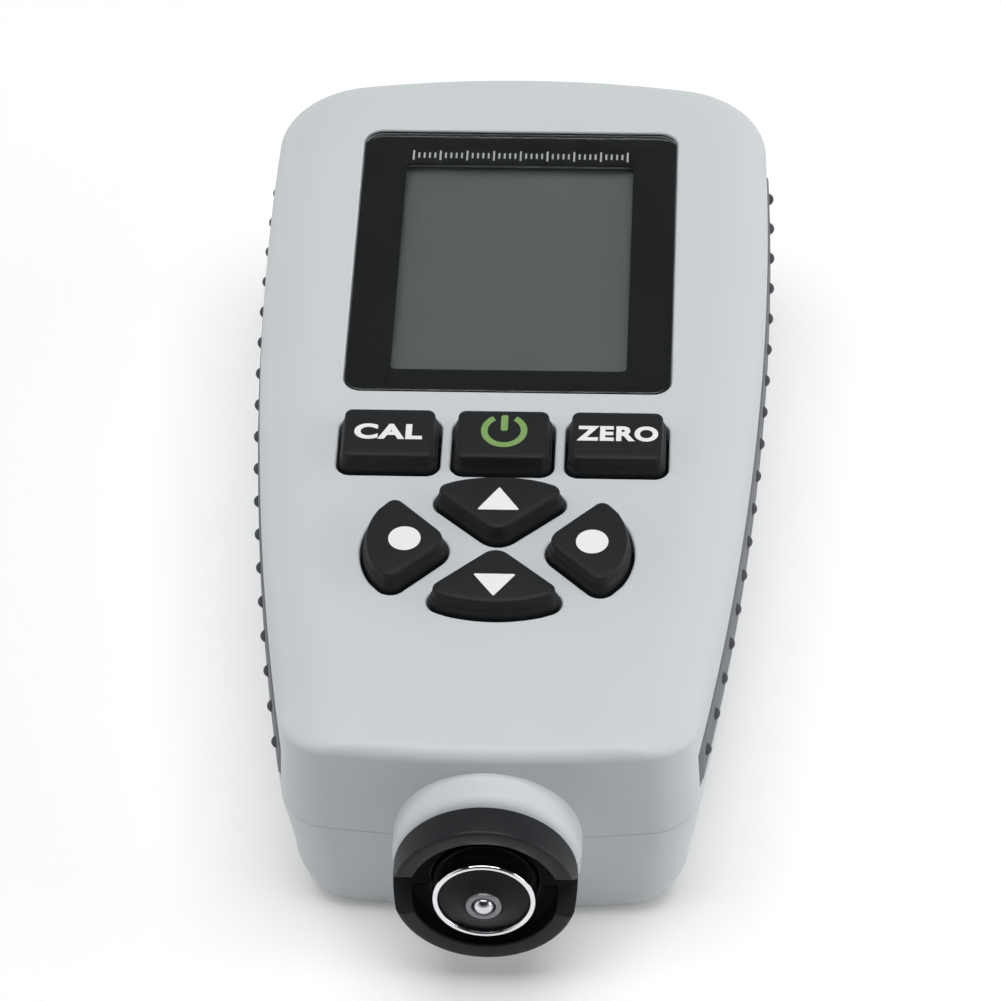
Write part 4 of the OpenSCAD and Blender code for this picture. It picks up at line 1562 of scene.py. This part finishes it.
@dataclass
class Keypad:
    """Rubber keys with their printed marks."""

    form: Form
    palette: Palette
    height: float = 2.4
    flange_top: float = -2.7
    flange_thickness: float = 1.0
    foot: float = -7.3
    draft_inset: float = 0.38
    top_round: float = 0.4
    ink: float = 0.025
    bite: float = 0.02
    letter_size: float = 3.0
    letter_weight: float = 0.13
    letter_spacing: float = 1.12
    labels: dict[str, tuple[str, Flat, Flat]] = field(default_factory=lambda: {
        "cal": ("CAL", (-13.1, -31.55), (7.8, 2.45)), "zero": ("ZERO", (13.1, -31.4), (9.3, 2.4))})
    power_middle: Flat = (0.15, -31.15)
    power_ring: Flat = (2.65, 1.9)
    power_open: Flat = (122.0, 418.0)
    power_bar: Spot = (0.8, 2.5, 0.3)
    power_bar_up: float = 1.2
    arrows: dict[str, Flat] = field(default_factory=lambda: {
        "up": (-40.1, -43.65), "down": (-56.85, -53.5)})
    arrow_half: float = 2.4
    arrow_round: float = 0.12
    dots: dict[str, Flat] = field(default_factory=lambda: {
        "left": (-10.32, -48.28), "right": (10.72, -48.35)})
    dot_radius: float = 1.82
    marks: dict[str, Mark] = field(default_factory=lambda: {
        "cal": Mark.LETTERS, "power": Mark.POWER, "zero": Mark.LETTERS, "up": Mark.ARROW,
        "down": Mark.ARROW, "left": Mark.DOT, "right": Mark.DOT})

    def key(self, name: str, points: Curve) -> Piece:
        """Makes one key with its step, draft and softly rounded top.

        Args:
            name: Key name.
            points: Outline of its foot.

        Returns:
            The key.
        """
        h, soft, side = self.height, self.top_round, self.draft_inset
        shoulder, under = h - soft - 0.05, self.flange_top - self.flange_thickness
        rings = [(1.1, self.foot), (1.1, under), (-0.4, under), (-0.4, self.flange_top),
                 (0.0, self.flange_top), (0.0, 0.0), (0.07, h * 0.34), (0.1, h * 0.38),
                 (0.17, h * 0.42), (0.25, h * 0.46), (0.30, h * 0.51)]
        rings += [(side + soft * (1 - c), shoulder + soft * s) for s, c in quarter(6)]
        rings += [(0.9, h - 0.02), (1.05, h)]
        loops = [self.form.on_deck(moved_in(points, inset), z) for inset, z in rings]
        return solid_piece(f"{name}_key_form", loops, self.palette["key_rubber"], 48.0)

    def printed(self, name: str, loops: Sequence[Curve], finish: str) -> Piece:
        """Makes a printed mark from closed outlines on a key's top.

        Args:
            name: Object name.
            loops: Outlines in the deck's frame.
            finish: Ink.

        Returns:
            The mark.
        """
        draft = Draft()
        for points in loops:
            draft.solid([self.form.on_deck(points, self.height - self.bite),
                         self.form.on_deck(points, self.height + self.ink)])
        return draft.finish(name, self.palette[finish], 30.0)

    def lettering(self, name: str, words: str, middle: Flat, size: Flat) -> Piece:
        """Makes bold lettering that fills a given box.

        Args:
            name: Object name.
            words: What it says.
            middle: Middle of the box in the deck's frame.
            size: Width and height of the box.

        Returns:
            The lettering as a mesh.
        """
        curve = bpy.data.curves.new(name, "FONT")
        curve.body = words
        curve.size = self.letter_size * MM
        curve.extrude = (self.ink + self.bite) / 2 * MM
        curve.offset = self.letter_weight * MM
        curve.space_character = self.letter_spacing
        obj = add_object(name, curve)
        depsgraph = bpy.context.evaluated_depsgraph_get()
        mesh = bpy.data.meshes.new_from_object(obj.evaluated_get(depsgraph))
        bpy.data.objects.remove(obj)
        low, high = ([pick(v.co[i] for v in mesh.vertices) for i in (0, 1)] for pick in (min, max))
        scale = [size[i] * MM / (high[i] - low[i]) for i in (0, 1)]
        fit = Matrix.Diagonal((*scale, 1.0, 1.0))
        centre = Matrix.Translation((-(low[0] + high[0]) / 2, -(low[1] + high[1]) / 2, 0.0))
        up = self.height + (self.ink - self.bite) / 2
        spot = Matrix.Translation(Vector((*middle, up)) * MM)
        mesh.transform(self.form.deck_matrix() @ spot @ fit @ centre)
        draft = Draft()
        draft.bm.from_mesh(mesh)
        bpy.data.meshes.remove(mesh)
        return draft.finish(name, self.palette["print_white"], 30.0)

    def power_loops(self) -> list[Curve]:
        """Outlines of the power sign: an open ring and a bar.

        Returns:
            Both outlines.
        """
        (x, y), (outer, inner), (start, end) = self.power_middle, self.power_ring, self.power_open
        ring = arc((x, y), outer, start, end, 60) + arc((x, y), inner, end, start, 60)
        return [ring, rounded_box(*self.power_bar, (x, y + self.power_bar_up))]

    def mark(self, name: str) -> Piece:
        """Makes the mark of one key.

        Args:
            name: Key name.

        Returns:
            The mark.
        """
        label, kind = f"{name}_mark", self.marks[name]
        if kind is Mark.LETTERS:
            return self.lettering(label, *self.labels[name])
        if kind is Mark.POWER:
            return self.printed(label, self.power_loops(), "print_green")
        if kind is Mark.DOT:
            dot = circle(self.dot_radius, self.dots[name], 60)
            return self.printed(label, [dot], "print_white")
        tip, foot = self.arrows[name]
        half = self.arrow_half if tip > foot else -self.arrow_half
        soft = self.arrow_round
        corners = [(0.0, tip, soft), (-half, foot, soft), (half, foot, soft)]
        return self.printed(label, [outline(corners, 4)], "print_white")

    def build(self) -> None:
        """Makes and places every key and its mark."""
        for name, points in KeyPlan().outlines().items():
            body = f"{name}_key_body"
            place(self.key(name, points), body, "key_rubber", f"{name}_key")
            place(self.mark(name), body, "key_rubber")


@dataclass
class Probe:
    """Collar with its vee, the sprung sleeve with core, bush and tip, and the return spring."""

    form: Form
    palette: Palette
    collar_radius: float = 10.1
    collar_gap: float = 0.1
    rim_round: float = 0.45
    recess_radius: float = 8.2
    recess: float = 2.4
    # Thickness of the skin that paints shade in the collar's recess.
    painted_shade_skin: float = 0.06
    vee: float = 3.0
    barrel: float = 8.0
    bore: float = 5.95
    sleeve: float = 5.65
    sleeve_wall: float = 0.65
    flange: float = 6.7
    well: float = 7.0
    well_at: float = -5.6
    flange_front: float = -5.9
    flange_back: float = -7.1
    guide_end: float = -13.0
    core_bore: float = 2.06
    core_back: float = -5.0
    core_below_tip: float = 0.85
    tip_radius: float = 1.2
    tip_back: float = -4.5
    bush_bore: float = 1.25
    bush_radius: float = 2.0
    bush_back: float = -4.0
    bush_below_tip: float = 0.55
    travel: float = 2.6
    wire: float = 0.35
    wire_gap: float = 0.3
    spring_turns: int = 4
    spring_clear: float = 0.02

    @property
    def face(self) -> float:
        """Reach of the collar's rim."""
        return self.form.nose_length + self.form.collar_length

    @property
    def rim(self) -> float:
        """Reach of the sleeve's rim."""
        return self.face + self.form.sleeve_out

    @property
    def end(self) -> float:
        """Reach of the tip."""
        return self.rim + self.form.tip_out

    def turned(self, name: str, profile: Sequence[Flat], finish: str, angle: float = 34.0) -> Piece:
        """Makes a turned piece on the probe axis from a closed profile.

        Args:
            name: Object name.
            profile: Radius and reach of each point.
            finish: Its material.
            angle: Edges sharper than this stay sharp, in degrees.

        Returns:
            The piece.
        """
        draft = Draft()
        draft.ring(self.form.around_probe(profile))
        return draft.finish(name, self.palette[finish], angle)

    def cut_vee(self, obj: Piece) -> None:
        """Cuts the vee across the collar's face out of a piece.

        Args:
            obj: The piece.
        """
        f, reach, span = self.form, self.collar_radius + 2, self.vee + 1.0
        apex = f.y_end - self.face + self.vee
        tip = [(apex, f.probe_z), (apex - span, f.probe_z + span), (apex - span, f.probe_z - span)]
        loops = [[(x, y, z) for y, z in tip] for x in (-reach, reach)]
        carve(obj, solid_piece("vee_tool", loops, self.palette["collar_black"]))

    def build_collar(self) -> Piece:
        """Makes the collar and its guide barrel.

        Returns:
            The collar.
        """
        r, face, soft = self.collar_radius, self.face, self.rim_round
        back, floor = self.form.nose_length + self.collar_gap, face - self.recess
        bore, deep = self.bore, self.recess_radius
        profile = [(self.well, self.guide_end), (self.well, self.well_at), (bore, self.well_at),
                   (bore, floor - 0.15), (bore + 0.15, floor), (deep - 0.35, floor),
                   (deep - 0.12, floor + 0.25), (deep, face - 0.30), (deep + 0.06, face - 0.17),
                   (deep + 0.2, face - 0.1), (r - 0.6, face)]
        profile += [(r - soft + soft * s, face - soft + soft * c) for s, c in quarter(6)]
        profile += [(r, back + 0.25), (r - 0.25, back), (self.barrel, back),
                    (self.barrel, self.guide_end)]
        collar = self.turned("collar_form", profile, "collar_black")
        self.cut_vee(collar)
        soften(collar, 0.16, 40.0)
        smooth(collar, 34.0)
        return collar

    def build_painted_shade_skin(self) -> Piece:
        """Makes a thin near-black skin over the collar's recess: painted shade for the recess's
        depth.

        Returns:
            The skin.
        """
        floor, lip = self.face - self.recess, self.face - 0.4
        edge, deep, skin = self.bore + 0.2, self.recess_radius, self.painted_shade_skin
        profile = [(edge, floor), (edge, floor + skin), (deep - 0.42, floor + skin),
                   (deep - 0.12 - skin, floor + 0.3), (deep - skin, lip), (deep, lip),
                   (deep - 0.12, floor + 0.25), (deep - 0.35, floor)]
        painted_shade_skin = self.turned("recess_liner", profile, "recess_black", 50.0)
        self.cut_vee(painted_shade_skin)
        return painted_shade_skin

    def build_sleeve(self) -> Piece:
        """Makes the plated sleeve with its rounded rim and stop flange.

        Returns:
            The sleeve.
        """
        outer, inner, half = self.sleeve, self.sleeve - self.sleeve_wall, self.sleeve_wall / 2
        profile = [(inner, self.flange_back), (self.flange, self.flange_back),
                   (self.flange, self.flange_front), (outer, self.flange_front)]
        profile += arc(((outer + inner) / 2, self.rim - half), half, 0, 180, 15)
        return self.turned("sleeve_form", profile, "sleeve_chrome")

    def build_core(self) -> Piece:
        """Makes the black cone inside the sleeve.

        Returns:
            The core.
        """
        rim, crest = self.rim, self.end - self.core_below_tip
        edge, hole = self.sleeve - self.sleeve_wall - 0.05, self.core_bore
        profile = [(hole, self.core_back), (edge, self.core_back), (edge, rim - 0.55),
                   (edge - 0.1, rim - 0.48), (edge - 0.3, rim - 0.45), (2.45, crest - 0.1),
                   (2.3, crest - 0.02), (hole, crest)]
        return self.turned("core_form", profile, "core_black", 50.0)

    def build_tip(self) -> Piece:
        """Makes the tip with its ball end.

        Returns:
            The tip.
        """
        r = self.tip_radius
        profile = [(r, self.tip_back)] + arc((0.0, self.end - r), r, 0, 87, 29)
        loops = list(zip(*self.form.around_probe(profile)))
        return solid_piece("tip_form", loops, self.palette["tip_steel"], 60.0)

    def build_bush(self) -> Piece:
        """Makes the bush round the tip with a chamfered mouth.

        Returns:
            The bush.
        """
        front, outer, hole = self.end - self.bush_below_tip, self.bush_radius, self.bush_bore
        profile = [(hole, self.bush_back), (outer, self.bush_back), (outer, front - 0.25),
                   (outer - 0.07, front - 0.08), (outer - 0.2, front), (hole + 0.3, front),
                   (hole + 0.13, front - 0.08), (hole, front - 0.3)]
        return self.turned("bush_form", profile, "bush_steel")

    def build_spring(self) -> Piece:
        """Makes the return spring with closed end turns.

        Returns:
            The spring.
        """
        f, steps = self.form, 28
        radius = self.flange - self.wire - self.wire_gap
        span = self.flange_back - self.guide_end - 2 * self.spring_clear - 2 * self.wire
        loops: list[Loop] = []
        for i in range(self.spring_turns * steps + 1):
            turn = i / steps
            c, s = math.cos(2 * math.pi * turn), math.sin(2 * math.pi * turn)
            rise = min(1.0, max(0.0, (turn - 0.5) / (self.spring_turns - 1)))
            y = f.y_end - (self.guide_end + self.spring_clear + self.wire + span * rise)
            loops.append([((radius + out) * c, y - along, f.probe_z + (radius + out) * s)
                          for out, along in circle(self.wire, steps=10)])
        return solid_piece("return_spring", loops, self.palette["plain_steel"], 60.0)

    def place_spring(self) -> None:
        """Places the spring on the housing and gives it a mesh of its own."""
        spring = self.build_spring()
        place(spring, Body.HOUSING.value, "plain_steel", "probe_spring")
        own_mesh(spring)

    def build(self) -> None:
        """Makes and places every piece of the probe."""
        self.place_spring()
        place(self.build_collar(), Body.HOUSING.value, "collar_black", "probe_collar")
        # The recess skin paints shade into the collar's recess.
        place(self.build_painted_shade_skin(), Body.HOUSING.value, "collar_black")
        body = Body.PROBE.value
        place(self.build_sleeve(), body, "sleeve_chrome", "probe_sleeve")
        place(self.build_core(), body, "core_black", "probe_core")
        place(self.build_tip(), body, "tip_steel", "probe_tip")
        place(self.build_bush(), body, "tip_steel", "tip_bush")


# Studio


@dataclass(frozen=True)
class Lamp:
    """One soft lamp aimed at the gauge, in metres and watts."""

    name: str
    spot: Spot
    size: Flat
    watts: float
    aim: Spot = (0.0, 0.0, 0.015)


LAMPS: tuple[Lamp, ...] = (
    Lamp("overhead_softbox", (0.0, -0.02, 1.0), (1.1, 0.75), 9.8),
    Lamp("left_fill", (-0.80, -0.20, 0.45), (0.5, 0.5), 0.6),
    Lamp("right_fill", (0.85, -0.10, 0.25), (0.5, 0.4), 2.0),
)


@dataclass
class Studio:
    """Camera, floor, lamps and world.

    The camera's values come from a fit to the photograph: angles in degrees about the deck's
    frame, distance and target in millimetres, focus in pixels of the photograph.
    """

    form: Form
    elevation: float = 46.2512
    turn: float = 3.7991
    roll: float = -1.8914
    distance: float = 564.455
    focus: float = 4976.77
    target: Flat = (0.0462, -39.9197)
    horizon: float = 1.0
    front: float = 0.3
    zenith: float = 0.03
    sky_fade: Flat = (0.15, 0.50)
    front_fade: Flat = (-0.90, -0.10)
    bounce_tone: float = 0.80
    floor_tone: float = 0.90
    floor_lift: float = 0.15
    floor_half: float = 3000.0
    floor_z: float = -0.2

    def camera(self) -> None:
        """Puts the camera where the photograph was taken from."""
        e, t, r = (math.radians(v) for v in (self.elevation, self.turn, self.roll))
        back = Vector((math.sin(t) * math.cos(e), -math.cos(t) * math.cos(e), math.sin(e)))
        right = Vector((math.cos(t), math.sin(t), 0.0))
        up = back.cross(right)
        right, up = right * math.cos(r) + up * math.sin(r), up * math.cos(r) - right * math.sin(r)
        spot = (Vector((*self.target, 0.0)) + back * self.distance) * MM
        axes = Matrix((right, up, back)).transposed().to_4x4()
        data = bpy.data.cameras.new("photo_camera")
        data.sensor_width = SENSOR_WIDTH
        data.lens = self.focus / IMAGE_SIZE * SENSOR_WIDTH
        data.clip_start = 0.01
        data.clip_end = 20.0
        camera = add_object("photo_camera", data)
        camera.matrix_world = self.form.deck_matrix() @ Matrix.Translation(spot) @ axes
        bpy.context.scene.camera = camera

    def seen_share(self, tree: Tree) -> Socket:
        """Socket that is 1 for rays that show the background.

        Args:
            tree: Tree of the floor's material.

        Returns:
            The socket.
        """
        path = add_node(tree, "ShaderNodeLightPath")
        direct = calc(tree, "MAXIMUM", path["Is Camera Ray"], path["Is Glossy Ray"])
        return calc(tree, "MAXIMUM", direct, path["Is Transmission Ray"])

    def floor(self) -> None:
        """Makes the pale floor that keeps the gauge's shadow."""
        material = bpy.data.materials.new("studio_floor")
        material.use_nodes = True
        tree = material.node_tree
        seen = self.seen_share(tree)
        tones = [(tone, tone, tone, 1.0) for tone in (self.bounce_tone, self.floor_tone)]
        feed(tree, tree.nodes["Principled BSDF"], {
            "Roughness": 0.9, "Specular IOR Level": 0.0, "Base Color": mixed(tree, seen, *tones),
            "Emission Color": WHITE,
            "Emission Strength": calc(tree, "MULTIPLY", seen, self.floor_lift)})
        half, z = self.floor_half, self.floor_z
        draft = Draft()
        corners = [(-half, -half, z), (half, -half, z), (half, half, z), (-half, half, z)]
        draft.bm.faces.new(draft.loop(corners))
        draft.finish("studio_floor", material)

    def lamps(self) -> None:
        """Hangs the soft lamps."""
        for lamp in LAMPS:
            data = bpy.data.lights.new(lamp.name, "AREA")
            data.shape = "RECTANGLE"
            data.size, data.size_y = lamp.size
            data.energy = lamp.watts
            obj = add_object(lamp.name, data)
            obj.location = lamp.spot
            way = Vector(lamp.aim) - Vector(lamp.spot)
            obj.rotation_euler = way.to_track_quat("-Z", "Y").to_euler()

    def world(self) -> None:
        """Makes the sky, pale at the horizon, darker behind the camera and overhead."""
        world = bpy.data.worlds.new("studio_world")
        bpy.context.scene.world = world
        world.use_nodes = True
        tree = world.node_tree
        way = add_node(tree, "ShaderNodeTexCoord")["Generated"]
        parts = add_node(tree, "ShaderNodeSeparateXYZ", {"Vector": way})

        def fade(axis: str, span: Flat, start: float, end: float) -> Socket:
            """Strength that runs smoothly over a span of one axis.

            Args:
                axis: Axis of the view direction.
                span: Where the run starts and ends.
                start: Strength before it.
                end: Strength after it.

            Returns:
                Socket of the strength.
            """
            return add_node(tree, "ShaderNodeMapRange", {
                "Value": parts[axis], "From Min": span[0], "From Max": span[1], "To Min": start,
                "To Max": end}, interpolation_type="SMOOTHSTEP")["Result"]

        upward = fade("Z", self.sky_fade, self.horizon, self.zenith)
        ahead = fade("Y", self.front_fade, self.front, 1.0)
        strength = calc(tree, "MULTIPLY", upward, ahead)
        feed(tree, tree.nodes["Background"], {"Color": WHITE, "Strength": strength})

    def build(self) -> None:
        """Sets up the whole studio."""
        self.camera()
        self.floor()
        self.lamps()
        self.world()
        bpy.context.scene.view_settings.view_transform = "Standard"


def main() -> None:
    """Builds the studio and every piece of the gauge in order."""
    logging.basicConfig(level=logging.INFO, format="%(name)s: %(message)s")
    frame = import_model()
    form = Form()
    Studio(form).build()
    palette = Palette()
    palette.dress_nodes(frame)
    copier = Copier()
    Housing(form, palette).build(copier)
    Grips(form, palette).build(copier)
    Display(form, palette).build()
    Keypad(form, palette).build()
    Probe(form, palette).build()


if __name__ == "__main__":
    main()
